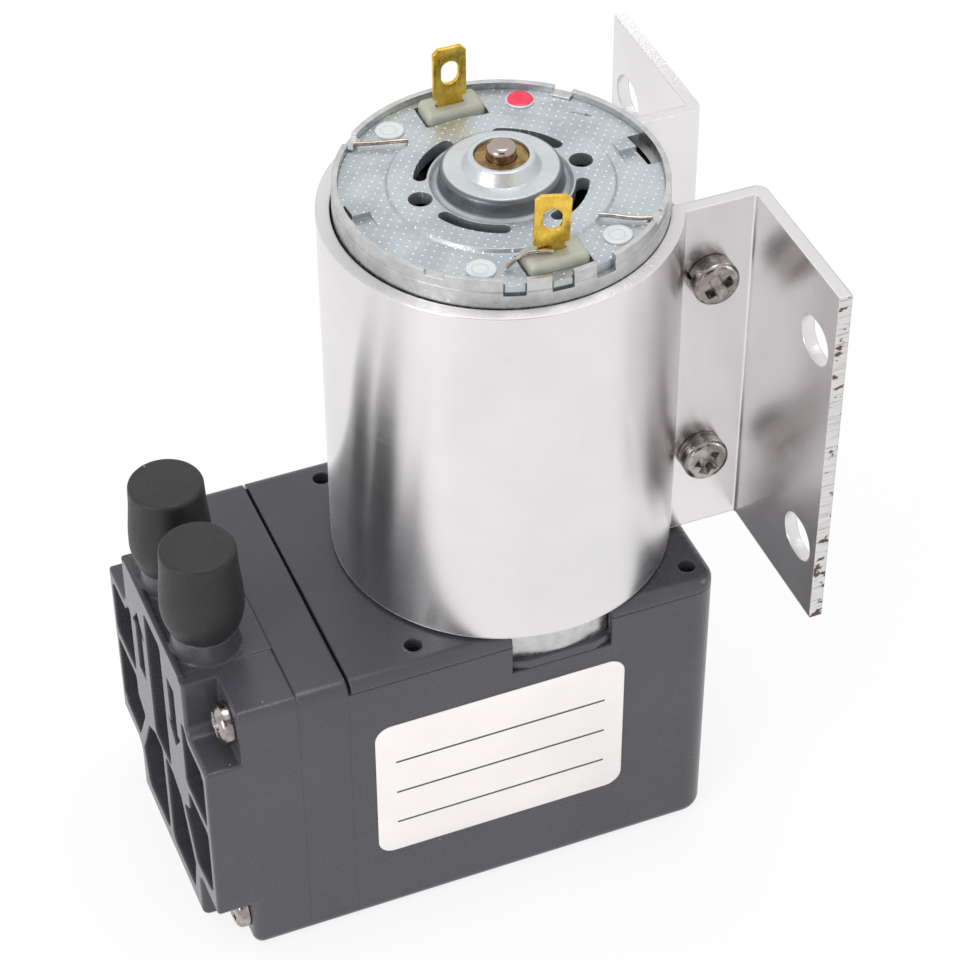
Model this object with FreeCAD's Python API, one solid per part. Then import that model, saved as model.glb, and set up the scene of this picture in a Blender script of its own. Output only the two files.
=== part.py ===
"""Mini vacuum pump: diaphragm pump head, crankcase and DC motor in a clamp bracket.

Millimetres. The motor axis is Z through the origin and the base stands on Z = 0.
+X points to the bracket's mounting flanges, -X to the pump head and -Y to the label.
"""
import FreeCAD, Part
import math
import os

V = FreeCAD.Vector
tiny = 1e-6                # tolerance of comparisons
X_AXIS, Y_AXIS, Z_AXIS = V(1, 0, 0), V(0, 1, 0), V(0, 0, 1)

# Clearances
fit_gap = 0.02             # pressed, screwed or glued fits
run_gap = 0.05             # shafts in bushes, balls in their cage
slip_gap = 0.1             # parts that push together by hand
soft_gap = 0.2             # rubber beside a moving part
screw_gap = 0.2            # screw shank in a through hole
overshoot = 1.0            # how far a cutting tool reaches past what it cuts

# Screw heads
recess_blade = 0.3         # half width of a cross recess's blades, as a share of their reach
head_round = 0.45          # rounded part of a screw head, as a share of its height
recess_reach = 0.62        # cross recess in a pan head, as a share of the head's radius
recess_sink = 0.55         # and its depth, as a share of the head's height

# Armature, from the shaft outwards
shaft_r = 1.5875
tooth_root_r = 5.0
tooth_half = 2.2
coil_side = 2.6
coil_depth = 2.48
coil_out = 0.8             # how far the coils stop inside the pole shoes
coil_gap = 0.25
coil_rise = 3.6
pole_count = 5
pole_shoe_t = 2.0
pole_shoe_half_angle = 31.0
core_short = 9.0           # how much shorter the core is than the magnets
core_above_magnet = 4.5
commutator_r = 4.3
commutator_len = 6.4
commutator_below_cap = 2.0
commutator_slot = 0.4
commutator_slot_depth = 0.8
washer_r = 2.9
washer_t = 0.8

# Magnets and can
rotor_air_gap = 0.5
magnet_t = 3.4
magnet_half_angle = 68.0
magnet_len = 34.0
magnet_base = 8.0          # above the can's floor
magnet_headroom = 8.5      # from the magnets up to the end cap
clip_half_angle = 12.0
clip_t = 0.5
can_wall = 1.2
rim_wall = 0.6             # the can is thinner at its rim
rim_step = 0.1             # rim set back from the can's outer face
rim_h = 1.5
front_boss_r = 6.5
front_boss_h = 3.0
front_bush_r = 3.0
front_bush_len = 5.0
shaft_below_journal = 0.35
shaft_above_rim = 4.2
shaft_dome = 0.7
motor_screw_from_can = 5.5
motor_screw_r = 1.5
motor_screw_len = 4.0
motor_screw_head_r = 2.5
motor_screw_head_h = 1.6

# Motor end cap
cap_plate_drop = 0.8       # end cap below the can's rim
cap_plate_t = 1.2
cap_rim_land = 4.8         # flat ring between the can and the pressed step
cap_step_h = 0.4
cap_step_slope = 0.3
groove_r = 7.2
groove_half = 0.45
groove_depth = 0.4
boss_r = 6.5
boss_h = 2.3
boss_edge = 0.6
boss_flare = 0.2           # how much wider the boss's foot is
housing_base_r = 4.25
housing_top_r = 3.5
housing_h = 3.7
housing_edge = 0.3
bush_r = 2.95
bush_len = 4.6
bush_recess = 0.3
bush_edge_r = 0.2
vent_x = 9.15
vent_r = 1.3
slot_r = 8.6
slot_half_w = 0.72
slot_from = 25.0
slot_to = 69.5
latch_in = 2.1             # latch's inner end inside the can's bore
window_latch_in = 3.2      # the same for the latch beside the window
latch_w = 2.0
latch_len = 2.4            # length of its ridge and of its tongue
latch_lift = 0.4
latch_sink = 0.25
window_from = -3.0
window_to = 2.5
crimp_w = 2.2
crimp_reach = 0.6          # crimped tab inside the rim
crimp_t = 0.25
castellation_w = 2.4
castellation_depth = 1.9
castellation_angles = (-75.5, -91.7, -107.9)
ear_angles = castellation_angles[1:]
ear_gap = 0.15
ear_t = 0.75
ear_back = 0.15            # lug's face behind the rim's outer face
crimp_angles = (45.0, 135.0, -45.0, -135.0)

# Brush gear and terminals
block_half_x = 3.35
block_near = 1.65          # insulator on the shaft's side of its terminal
block_far = 2.1            # and on the can's side
block_end_gap = 0.3
block_inset = 2.8          # insulator middle inside the can's bore
block_rise = 1.2
block_edge_r = 0.7
rivet_x = 7.6
rivet_behind_block = 0.9
rivet_r = 1.6
rivet_rise = 0.25
peg_r = 0.9
holder_t = 2.0
holder_half_x = 10.0
holder_behind_block = 3.4
holder_past_block = 2.2
terminal_half_w = 2.0
terminal_t = 0.5
terminal_top = 8.4         # above the end cap plate
terminal_foot = 2.0        # height of the narrower foot
terminal_foot_half = 1.5
terminal_chamfer = 0.6
terminal_hole_r = 1.0
terminal_hole_len = 2.9
terminal_hole_top = 1.7
terminal_shift = -0.3
brush_half_w = 2.0
brush_h = 3.6
brush_len = 5.0
arm_t = 0.4
stub_r = 0.25
stub_end_in = 0.9          # wire stub's outer end inside the can's outer face
stub_run = 5.1             # how much nearer to the shaft its inner end lies
stub_angles = ((136.0, 123.6), (-46.0, -55.5))
stub_side = 0.3            # third stub: from the terminal's middle line
stub_front = 0.6           # and in front of that terminal
stub_fall = 3.7            # length of its run down to the plate
stub_turn = 0.2            # how far that run swings inwards
dot_t = 0.12

# Pump axis, drive and crankcase, from the base upwards
base_below_rim = 5.35      # base under the diaphragm's seat
diaphragm_r = 13.9
bearing_r = 8.0
bearing_w = 5.0
counterweight_gap = 2.0    # above the bearing
hub_h = 5.5
drive_gap = 2.15           # between eccentric and motor
seat_depth = 4.3           # how far the motor stands in the lid
body_beyond_can = 0.25     # side wall outside the can
end_beyond_can = 1.5       # far wall outside the can
seam_beyond_can = 7.7      # face that takes the pump head
body_wall = 2.0
front_wall = 4.0           # wall that clamps the diaphragm
body_corner_r = 3.0
base_edge_r = 1.5
top_edge_r = 1.3

# Lid and motor seat
lid_t = 1.5
lid_seam = 0.4             # open joint between the lid and the pump head
seat_floor = 1.2
seat_ring = 0.6
notch_half = 6.1           # half width of the wall opening beside the motor
lid_hole_inset_x = 2.75
lid_hole_inset_y = 3.25
lid_screw_r = 1.0
lid_screw_seat = 22.0      # height of the screw head's seat in the base column
lid_screw_stop = 2.9       # screw tip below the lid's face
lid_screw_head_r = 1.9
lid_screw_head_h = 1.5
lid_spigot_len = 6.0
lid_spigot_wall = 1.05
column_r = 3.2

# Nozzles and their push-on caps
cap_len = 11.6
cap_top_r = 4.3
cap_bulge_r = 4.75
cap_bulge_z = 3.6
cap_rim_r = 3.85
cap_roof = 2.4
cap_edge_r = 0.35
cap_swell = 0.15           # how far the rim's flare bellies out
cap_half_gap = 0.85        # half of the space between the caps
nozzle_tip_gap = 0.6       # nozzle tip below the cap's roof
nozzle_inset = 4.7         # nozzle axis behind the head's front face
collar_base_r = 4.1
collar_top_r = 3.75
collar_h = 2.7
nozzle_r = 2.5
nozzle_bore_r = 1.3
nozzle_chamfer = 0.5

# Head screws
head_screw_r = 1.5
head_screw_grip = 5.3      # how deep the screws go into the crankcase
head_screw_head_r = 2.45
head_screw_head_h = 1.7
head_screw_inset_y = 3.55
head_screw_inset_z = 3.95
head_boss_end = 0.4        # plastic left beyond the screw's tip

# Valve plate and head cover
plate_t = 5.8
head_t = 11.1
head_side_wall = 1.15
head_top_wall = 1.7
head_floor = 3.1           # plastic behind the pockets
head_rib = 1.2
pocket_corner_r = 0.7
pocket_slant = 0.9         # cut-off corners of the pockets
block_in = 2.6             # flow blocks: from the nozzle's axis to their inner face
block_out = 3.9            # and to their outer face
mid_pocket_drop = 1.75     # middle pocket's floor below the pump axis
shelf_rise = 1.65          # cross rib beside the flow blocks above the pump axis
bottom_wall = 2.8
brace_y = 3.6              # diagonal braces: where they leave the middle pocket
brace_z = 2.0
notch_side_gap = 0.95      # corner notch round a screw head, along Y
notch_end_gap = 1.3        # and along Z
notch_depth = 4.2
notch_corner_r = 1.5
arrow_depth = 0.8
arrow_shaft_half = 1.25
arrow_head_half = 2.2
arrow_head_len = 2.9
arrow_len = 10.0
arrow_drop = 9.5           # arrow's middle below the head's top
lip_w = 0.7                # raised lip on the flow blocks' front edge
lip_h = 0.35
lip_past_block = 0.7
pad_drop = 0.12            # corner pads below the top of the flow blocks
front_edge_r = 0.4         # outer edges of the ribbed front
leg_edge_r = 1.0           # low edge of the front
foot_edge_r = 1.2          # low edges of the screw seats

# Flow passages and flap valves
flap_shift = 0.4           # flap's middle outside the nozzle's axis
flap_half_w = 2.0
flap_len = 6.4
flap_t = 0.4
flap_bead_r = 0.4
valve_pocket_gap = 0.25
flap_side_gap = 0.2
inlet_pocket_depth = 1.2
outlet_pocket_depth = 2.6
port_r = 0.6
port_spread = 1.3
port_drop = 3.6            # ports below the flap's hinge
seal_gap = 0.7
seal_w = 0.6
seal_t = 0.5

# Diaphragm, its clamp plate and the pump chamber
diaphragm_t = 1.2
diaphragm_flat_r = 8.0
port_hole_r = 11.0
chamber_r = 10.6
chamber_depth = 3.6
clamp_plate_r = 6.0
clamp_plate_t = 1.2
rod_foot_r = 6.5
rod_foot_t = 2.0
clamp_screw_m_r = 1.5
clamp_screw_head_r = 2.8
clamp_screw_depth = 9.0

# Eccentric drive
stroke_offset = 1.5        # eccentric throw, half the stroke
journal_r = 4.0
hub_r = 5.0
counterweight_r = 10.0
set_screw_r = 1.5
set_screw_len = 4.0
hex_key = 1.5
ball_r = 1.0
ball_count = 9
ring_wall = 1.3
cage_half_w = 1.3
cage_half_t = 0.45
rod_ring_t = 2.2
rod_neck_half = 3.5

# Clamp bracket
sheet_t = 1.5
sleeve_gap = 0.15
sleeve_shift = 0.1         # the sleeve sits against the can on the flange side
bracket_lift = 0.4         # above the lid
bracket_below_rim = 3.5
ear_inner = 7.4
flange_w = 19.3
flange_beyond_head = 2.4   # flange beyond the clamp screw's head
bend_out_r = 1.3
bend_in_r = 0.3
slot_len = 6.0
slot_w = 5.2
slot_from_side = 4.3       # slot's middle to the flange's end
slot_from_top = 8.75
clamp_beyond_sleeve = 0.95
clamp_from_top = 10.15
clamp_rise = 0.95          # clamp screws above the bracket's middle
clamp_r = 1.5
clamp_head_r = 2.7
clamp_head_h = 1.9
clamp_past_nut = 1.2
spring_washer_t = 0.8
spring_washer_r = 2.65
spring_washer_split = 0.6
nut_across = 5.5
nut_t = 2.4

# Label
label_inset = 2.9          # from the joint with the valve plate
label_len = 30.6
label_low = 9.9
label_h = 20.7
label_t = 0.12
label_corner_r = 2.0

# Places worked out from the sizes above
core_r = tooth_root_r + coil_side + coil_depth + coil_out + pole_shoe_t
magnet_in_r = core_r + rotor_air_gap
can_in_r = magnet_in_r + magnet_t + fit_gap
can_r = can_in_r + can_wall
rim_out_r = can_r - rim_step
rim_in_r = rim_out_r - rim_wall
half_w = can_r + body_beyond_can
body_end = can_r + end_beyond_can
head_seam = can_r + seam_beyond_can

pump_z = base_below_rim + soft_gap + diaphragm_r
bearing_low = pump_z - bearing_w / 2
bearing_top = pump_z + bearing_w / 2
weight_low = bearing_top + counterweight_gap
weight_top = weight_low + hub_h
seat_z = weight_top + drive_gap + front_boss_h
body_height = seat_z + seat_depth
lid_z = body_height - lid_t

magnet_low = seat_z + can_wall + magnet_base
core_low = magnet_low + core_above_magnet
core_high = core_low + magnet_len - core_short
cap_under_z = magnet_low + magnet_len + magnet_headroom
cap_z = cap_under_z + cap_plate_t
rim_z = cap_z + cap_plate_drop
shaft_low = bearing_low - shaft_below_journal
shaft_top = rim_z + shaft_above_rim
commutator_high = cap_under_z - commutator_below_cap
commutator_low = commutator_high - commutator_len
motor_screw_half = can_r - motor_screw_from_can

cap_step_r = can_in_r - cap_rim_land
block_y = can_in_r - block_inset
rivet_y = block_y - rivet_behind_block
stub_out_r = can_r - stub_end_in
stub_in_r = stub_out_r - stub_run

plate_x = -head_seam - plate_t
front_x = plate_x - head_t
seat_r = can_r + slip_gap
ring_r = seat_r + seat_ring
lid_hole_x = body_end - lid_hole_inset_x
lid_hole_y = half_w - lid_hole_inset_y
lid_holes = [(sx * lid_hole_x, sy * lid_hole_y) for sx in (-1, 1) for sy in (-1, 1)]
lid_screw_len = body_height - lid_screw_stop - lid_screw_seat
head_screw_y = half_w - head_screw_inset_y
head_screws_yz = [
    (sy * head_screw_y, z)
    for sy in (-1, 1)
    for z in (head_screw_inset_z, body_height - head_screw_inset_z)
]
head_seat_x = front_x + notch_depth
head_tip_x = -head_seam + head_screw_grip
head_screw_len = head_tip_x - head_seat_x
notch_w = head_screw_inset_y + head_screw_head_r + notch_side_gap
notch_h = head_screw_inset_z + head_screw_head_r + notch_end_gap
nozzle_x = front_x + nozzle_inset
nozzle_y = cap_bulge_r + cap_half_gap
nozzle_h = cap_len - cap_roof - nozzle_tip_gap
block_in_y = nozzle_y - block_in
block_out_y = nozzle_y + block_out
flap_y = nozzle_y + flap_shift
collar_z = body_height + collar_h
shelf_z = pump_z + shelf_rise
mid_pocket_floor = pump_z - mid_pocket_drop
arrow_mid_z = body_height - arrow_drop
hinge_z = pump_z + flap_len / 2 + flap_bead_r
chamber_floor_x = -head_seam - chamber_depth
diaphragm_low_x = -head_seam + stroke_offset       # front of the flat centre at rest
diaphragm_back_x = diaphragm_low_x + diaphragm_t
rod_face_x = diaphragm_back_x + soft_gap
bearing_pitch_r = (journal_r + bearing_r) / 2      # circle that the balls run on
brush_mid_z = (commutator_low + commutator_high) / 2

sleeve_in_r = can_r + sleeve_gap
sleeve_out_r = sleeve_in_r + sheet_t
ear_outer = ear_inner + sheet_t
opening_x = math.sqrt(sleeve_in_r ** 2 - ear_inner ** 2) - sleeve_shift
bracket_low = body_height + bracket_lift
bracket_high = rim_z - bracket_below_rim
bracket_mid = (bracket_low + bracket_high) / 2
slot_half_pitch = bracket_high - bracket_mid - slot_from_top
clamp_half_pitch = bracket_high - bracket_mid - clamp_from_top
clamp_heights = [bracket_mid + clamp_rise + level * clamp_half_pitch for level in (-1, 1)]
clamp_x = sleeve_out_r + clamp_beyond_sleeve
flange_inner = clamp_x + clamp_head_r + flange_beyond_head
flange_outer = flange_inner + sheet_t
flange_end = ear_outer + flange_w
slot_y = flange_end - slot_from_side
label_from = label_inset - head_seam


def slab(x, y, z):
    """Box from its (low, high) pair along each axis."""
    return Part.makeBox(x[1] - x[0], y[1] - y[0], z[1] - z[0], V(x[0], y[0], z[0]))


def rod(radius, start, end):
    """Round bar of the given radius between two points."""
    return Part.makeCylinder(radius, (end - start).Length, start, end - start)


def upright(radius, x, y, low, high):
    """Round bar along Z."""
    return rod(radius, V(x, y, low), V(x, y, high))


def along_x(radius, y, z, low, high):
    """Round bar along X."""
    return rod(radius, V(low, y, z), V(high, y, z))


def along_y(radius, x, z, low, high):
    """Round bar along Y."""
    return rod(radius, V(x, low, z), V(x, high, z))


def tube(outer, inner, low, high, x=0.0, y=0.0):
    """Upright ring."""
    return upright(outer, x, y, low, high).cut(upright(inner, x, y, low, high))


def prism(points, travel):
    """Solid swept straight from a closed outline of points."""
    return Part.Face(Part.makePolygon(points + points[:1])).extrude(travel)


def hexagon(centre, first, second, across, travel):
    """Hexagonal bar: first and second span its outline, across is its width over flats."""
    corner = across / math.sqrt(3)
    turns = [math.radians(60 * i) for i in range(6)]
    return prism([centre + first * corner * math.cos(t) + second * corner * math.sin(t)
                  for t in turns], travel)


def turned(outline, centre, direction, across):
    """Solid of revolution: outline holds (radius, distance along direction) pairs."""
    points = [centre + across * r + direction * d for r, d in outline]
    face = Part.Face(Part.makePolygon(points + points[:1]))
    return face.revolve(centre, direction, 360)


def soften(shape, radius, chosen):
    """Round the straight or curved edges whose middle passes the test chosen."""
    return shape.makeFillet(radius, [e for e in shape.Edges if chosen(e.CenterOfMass, e)])


def lies_along(edge, direction):
    """True for a straight edge that runs along direction."""
    start, end = edge.Vertexes[0].Point, edge.Vertexes[-1].Point
    run = end - start
    return run.Length > 0 and abs(abs(run.dot(direction)) - run.Length) < tiny


def edges_at(x, direction, test):
    """Test for straight edges in the plane X = x whose middle passes another test."""
    return lambda p, e: abs(p.x - x) < tiny and lies_along(e, direction) and test(p)


def joined(shapes):
    """One solid from shapes that touch or overlap."""
    whole = shapes[0]
    for other in shapes[1:]:
        whole = whole.fuse(other)
    return whole.removeSplitter()


def without(shape, tools):
    """Shape with every tool cut away."""
    for tool in tools:
        shape = shape.cut(tool)
    return shape


def group(shapes):
    """Separate solids kept together in one node."""
    return Part.makeCompound(shapes)


def mirrored_y(shape):
    """Copy on the other side of the motor axis, along Y."""
    return shape.mirror(V(0, 0, 0), Y_AXIS)


def cross_recess(tip, direction, radius, depth):
    """Cross-shaped driver recess, sunk from the point tip along direction."""
    side = V(0, 0, 1) if abs(direction.z) < 0.5 else V(1, 0, 0)
    up = direction.cross(side)
    blades = []
    for long_way, short_way in ((side, up), (up, side)):
        half, thin = radius, radius * recess_blade
        corners = [
            tip + long_way * a * half + short_way * b * thin
            for a, b in ((-1, -1), (1, -1), (1, 1), (-1, 1))
        ]
        blades.append(prism(corners, direction * depth))
    return blades[0].fuse(blades[1])


def pan_screw(seat, direction, shank_r, shank_len, head_r, head_h):
    """Pan head screw: seat is under the head and direction points to the tip."""
    across = V(0, 0, 1) if abs(direction.z) < 0.5 else V(1, 0, 0)
    bevel, point = head_h * head_round, shank_r / 2
    outline = [
        (0, -head_h), (head_r - 2 * bevel, -head_h), (head_r - bevel / 2, bevel / 2 - head_h),
        (head_r, bevel - head_h), (head_r, 0), (shank_r, 0),
        (shank_r, shank_len - point), (point, shank_len), (0, shank_len),
    ]
    screw = turned(outline, seat, direction, across)
    recess = cross_recess(seat - direction * head_h, direction, head_r * recess_reach,
                          head_h * recess_sink)
    return screw.cut(recess)


def diaphragm_seat():
    """Recess in the crankcase's front face that holds the diaphragm's rim."""
    return along_x(diaphragm_r + soft_gap, 0, pump_z, -head_seam, -head_seam + diaphragm_t)


def body_outline(low_x, high_x, low, high):
    """Block of the pump's cross-section between two places along X."""
    return slab((low_x, high_x), (-half_w, half_w), (low, high))


def is_far_corner(point, edge):
    """Upright corner edges at the motor end of the crankcase."""
    return lies_along(edge, Z_AXIS) and abs(point.x - body_end) < tiny


def crankcase():
    """Open-topped box with corner columns, diaphragm port and motor scoop."""
    block = body_outline(-head_seam, body_end, 0, lid_z)
    block = soften(block, body_corner_r, is_far_corner)
    block = soften(block, base_edge_r, lambda p, e: p.z < tiny and p.x > -head_seam + tiny)
    inner_y = half_w - body_wall
    hollow = slab(
        (-head_seam + front_wall, body_end - body_wall), (-inner_y, inner_y), (body_wall, lid_z)
    )
    boss_end = head_tip_x + head_boss_end
    keep = [upright(column_r, x, y, 0, lid_z) for x, y in lid_holes]
    keep += [along_x(column_r, y, z, -head_seam, boss_end) for y, z in head_screws_yz]
    hollow = without(hollow, keep)
    socket_r = lid_screw_r + lid_spigot_wall + slip_gap
    cuts = [hollow, diaphragm_seat()]
    cuts.append(along_x(port_hole_r, 0, pump_z, -head_seam, -head_seam + front_wall))
    cuts += [along_x(head_screw_r + fit_gap, y, z, -head_seam, head_tip_x + fit_gap)
             for y, z in head_screws_yz]
    for x, y in lid_holes:
        cuts.append(upright(lid_screw_head_r + slip_gap, x, y, 0, lid_screw_seat))
        cuts.append(upright(lid_screw_r + screw_gap, x, y, 0, lid_z))
        cuts.append(upright(socket_r, x, y, lid_z - lid_spigot_len - slip_gap, lid_z))
    scoop_z = seat_z - seat_floor - slip_gap
    cuts.append(upright(ring_r + slip_gap, 0, 0, scoop_z, lid_z))
    cuts.append(slab((-notch_half, notch_half), (-half_w, half_w), (scoop_z, lid_z)))
    return without(block, cuts)


def crankcase_lid():
    """Top plate with the motor's seat and four hollow spigots."""
    plate = body_outline(-head_seam + lid_seam, body_end, lid_z, body_height)
    plate = soften(plate, body_corner_r, is_far_corner)
    seam_end = -head_seam + lid_seam + tiny
    plate = soften(plate, top_edge_r, lambda p, e: p.z > body_height - tiny and p.x > seam_end)
    seat = upright(ring_r, 0, 0, seat_z - seat_floor, lid_z)
    seat = seat.common(body_outline(-body_end, body_end, 0, body_height))
    lid = joined([plate, seat] + [
        upright(lid_screw_r + lid_spigot_wall, x, y, lid_z - lid_spigot_len, lid_z)
        for x, y in lid_holes
    ])
    shaft_hole_r = front_boss_r + slip_gap
    cuts = [upright(seat_r, 0, 0, seat_z, body_height)]
    cuts.append(upright(shaft_hole_r, 0, 0, seat_z - seat_floor, seat_z))
    cuts.append(slab((-notch_half, notch_half), (-half_w, half_w), (seat_z, body_height)))
    cuts += [upright(lid_screw_r + fit_gap, x, y, lid_z - lid_spigot_len, body_height)
             for x, y in lid_holes]
    cuts += [upright(motor_screw_r + screw_gap, sx * motor_screw_half, 0, 0, seat_z)
             for sx in (-1, 1)]
    return without(lid, cuts)


def lid_screws():
    """Four long screws driven up from the base into the lid's spigots."""
    return group([
        pan_screw(V(x, y, lid_screw_seat), Z_AXIS, lid_screw_r, lid_screw_len,
                  lid_screw_head_r, lid_screw_head_h)
        for x, y in lid_holes
    ])


def flap_pocket(side, low_x, high_x):
    """Pocket that one flap works in; side is -1 for the inlet and +1 for the outlet."""
    half = flap_half_w + flap_side_gap
    mid = side * flap_y
    low = hinge_z - flap_len - flap_bead_r - valve_pocket_gap
    high = hinge_z + flap_bead_r + valve_pocket_gap
    return slab((low_x, high_x), (mid - half, mid + half), (low, high))


def flap_ports(side, low_x, high_x):
    """Three small ports under a flap."""
    return [
        along_x(port_r, side * flap_y + port_spread * math.sin(math.radians(a)),
                hinge_z - port_drop + port_spread * math.cos(math.radians(a)), low_x, high_x)
        for a in (0, 120, 240)
    ]


def seal_ring(side, grow, low_x, high_x):
    """Rectangular ring round one flow passage, grown by a clearance for its groove."""
    pocket = flap_pocket(side, low_x, high_x).BoundBox
    rings = []
    for out in (seal_gap + seal_w + grow, seal_gap - grow):
        rings.append(slab((low_x, high_x), (pocket.YMin - out, pocket.YMax + out),
                          (pocket.ZMin - out, pocket.ZMax + out)))
    return rings[0].cut(rings[1])


def valve_plate():
    """Plate between crankcase and head: pump chamber, valve ports and seal grooves."""
    plate = body_outline(plate_x, -head_seam, 0, body_height)
    plate = soften(plate, top_edge_r,
                   lambda p, e: lies_along(e, X_AXIS) and p.z > pump_z)
    plate = soften(plate, base_edge_r,
                   lambda p, e: lies_along(e, X_AXIS) and p.z < pump_z)
    floor_x = chamber_floor_x
    cuts = [along_x(chamber_r, 0, pump_z, floor_x, -head_seam)]
    cuts.append(flap_pocket(-1, floor_x - inlet_pocket_depth, floor_x))
    for side in (-1, 1):
        cuts += flap_ports(side, plate_x, floor_x)
        cuts.append(seal_ring(side, slip_gap, plate_x, plate_x + seal_t))
    cuts += [along_x(head_screw_r + screw_gap, y, z, plate_x, -head_seam)
             for y, z in head_screws_yz]
    return without(plate, cuts)


def passage_seals():
    """Rubber rings that seal the two flow passages to the valve plate."""
    return group([seal_ring(side, 0, plate_x, plate_x + seal_t) for side in (-1, 1)])


def rib_pockets():
    """Outlines (y, z) of the hollows between the ribs on the +Y half of the head."""
    side, cut, rib = half_w - head_side_wall, pocket_slant, head_rib
    notch_y, notch_top = half_w - notch_w, body_height - notch_h
    over, under = shelf_z + rib / 2, shelf_z - rib / 2
    foot_y, foot_z = block_in_y + brace_y, mid_pocket_floor - brace_z
    tip_y, tip_z = notch_y - rib * 0.7, notch_h + rib * 0.7
    out_y, mid_top = block_out_y + rib / 3, mid_pocket_floor - rib / 2
    upper = [(block_out_y, over), (side, over), (side, notch_top - rib - cut),
             (side - cut, notch_top - rib), (notch_y + rib / 3, notch_top - rib),
             (block_out_y, notch_top + 2 * cut)]
    lower = [(side, under), (out_y, under), (out_y, foot_z + 2 * cut),
             (foot_y + cut, foot_z + cut / 3), (tip_y + rib / 2, tip_z + cut),
             (side - cut, notch_h + 2 * rib), (side, notch_h + 2 * rib + cut)]
    bottom = [(rib / 2, mid_top), (block_in_y + rib / 3, mid_top), (foot_y - rib / 3, foot_z),
              (tip_y - rib / 3, tip_z - rib / 3), (notch_y - rib * 2, bottom_wall),
              (rib, bottom_wall), (rib / 2, bottom_wall + rib)]
    return upper, lower, bottom


def pocket_prism(outline, side):
    """Hollow with rounded corners, sunk into the head's front face."""
    points = [V(front_x, side * y, z) for y, z in outline]
    hollow = prism(points, X_AXIS * (head_t - head_floor))
    return soften(hollow, pocket_corner_r, lambda p, e: lies_along(e, X_AXIS))


def arrow_recess(side, up):
    """Flow direction arrow sunk into the front of a flow block."""
    mid = side * (block_in_y + block_out_y) / 2
    sign = 1 if up else -1
    tip = arrow_mid_z + sign * arrow_len / 2
    neck = tip - sign * arrow_head_len
    tail = tip - sign * arrow_len
    outline = [(-arrow_shaft_half, tail), (arrow_shaft_half, tail), (arrow_shaft_half, neck),
               (arrow_head_half, neck), (0, tip), (-arrow_head_half, neck),
               (-arrow_shaft_half, neck)]
    return prism([V(front_x, mid + y, z) for y, z in outline], X_AXIS * arrow_depth)


def corner_notch(side, top):
    """Step at one corner of the head that seats a screw head."""
    y = (half_w - notch_w, half_w) if side > 0 else (-half_w, notch_w - half_w)
    z = (body_height - notch_h, body_height) if top else (0, notch_h)
    step = slab((front_x, head_seat_x), y, z)
    inner_y = side * (half_w - notch_w)
    return soften(step, notch_corner_r, lambda p, e: lies_along(e, X_AXIS)
                  and abs(p.y - inner_y) < tiny and tiny < p.z < body_height - tiny)


def nozzle(side):
    """Collar and hose spigot on top of the head."""
    tip = collar_h + nozzle_h
    waist_r = collar_top_r + (collar_base_r - collar_top_r) / 3
    outline = [(0, -overshoot), (collar_base_r, -overshoot), (collar_base_r, 0),
               (waist_r, collar_h / 2), (collar_top_r, collar_h), (nozzle_r, collar_h),
               (nozzle_r, tip - nozzle_chamfer), (nozzle_r - nozzle_chamfer, tip), (0, tip)]
    return turned(outline, V(nozzle_x, side * nozzle_y, body_height), Z_AXIS, X_AXIS)


def head_cover():
    """Ribbed cover with two flow blocks, valve pockets, nozzles and screw steps."""
    block = body_outline(front_x, plate_x, 0, body_height)
    block = soften(block, top_edge_r,
                   lambda p, e: lies_along(e, X_AXIS) and p.z > pump_z)
    block = soften(block, base_edge_r,
                   lambda p, e: lies_along(e, X_AXIS) and p.z < pump_z)
    pad_z = body_height - pad_drop
    block = without(block, [slab((front_x, plate_x), y, (pad_z, body_height))
                            for y in ((-half_w, -block_out_y), (block_out_y, half_w))])
    lip_half = block_out_y + lip_past_block
    lip = slab((front_x, front_x + lip_w), (-lip_half, lip_half), (pad_z, body_height + lip_h))
    block = joined([block, lip, nozzle(-1), nozzle(1)])
    top = body_height - head_top_wall
    middle = [(-block_in_y, mid_pocket_floor), (block_in_y, mid_pocket_floor),
              (block_in_y, top), (-block_in_y, top)]
    cuts = [pocket_prism(middle, 1)]
    for side in (-1, 1):
        cuts += [pocket_prism(outline, side) for outline in rib_pockets()]
        cuts += [corner_notch(side, top) for top in (False, True)]
        cuts.append(arrow_recess(side, side > 0))
        cuts.append(upright(nozzle_bore_r, nozzle_x, side * nozzle_y, pump_z,
                            collar_z + nozzle_h))
        cuts.append(along_x(nozzle_bore_r, side * nozzle_y, pump_z, nozzle_x, plate_x))
        cuts.append(flap_pocket(side, plate_x - outlet_pocket_depth, plate_x))
    cuts += [along_x(head_screw_r + screw_gap, y, z, front_x, plate_x) for y, z in head_screws_yz]
    cover = without(block, cuts)
    cover = soften(cover, foot_edge_r, edges_at(head_seat_x, Y_AXIS, lambda p: p.z < tiny))
    cover = soften(cover, leg_edge_r, edges_at(front_x, Y_AXIS, lambda p: p.z < tiny))
    for inset in (0, notch_w):
        cover = soften(cover, front_edge_r, edges_at(
            front_x, Z_AXIS, lambda p: abs(abs(p.y) - half_w + inset) < tiny))
    return cover


def head_screws():
    """Four pan head screws that hold head, valve plate and crankcase together."""
    return group([
        pan_screw(V(head_seat_x, y, z), X_AXIS, head_screw_r, head_screw_len,
                  head_screw_head_r, head_screw_head_h)
        for y, z in head_screws_yz
    ])


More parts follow.
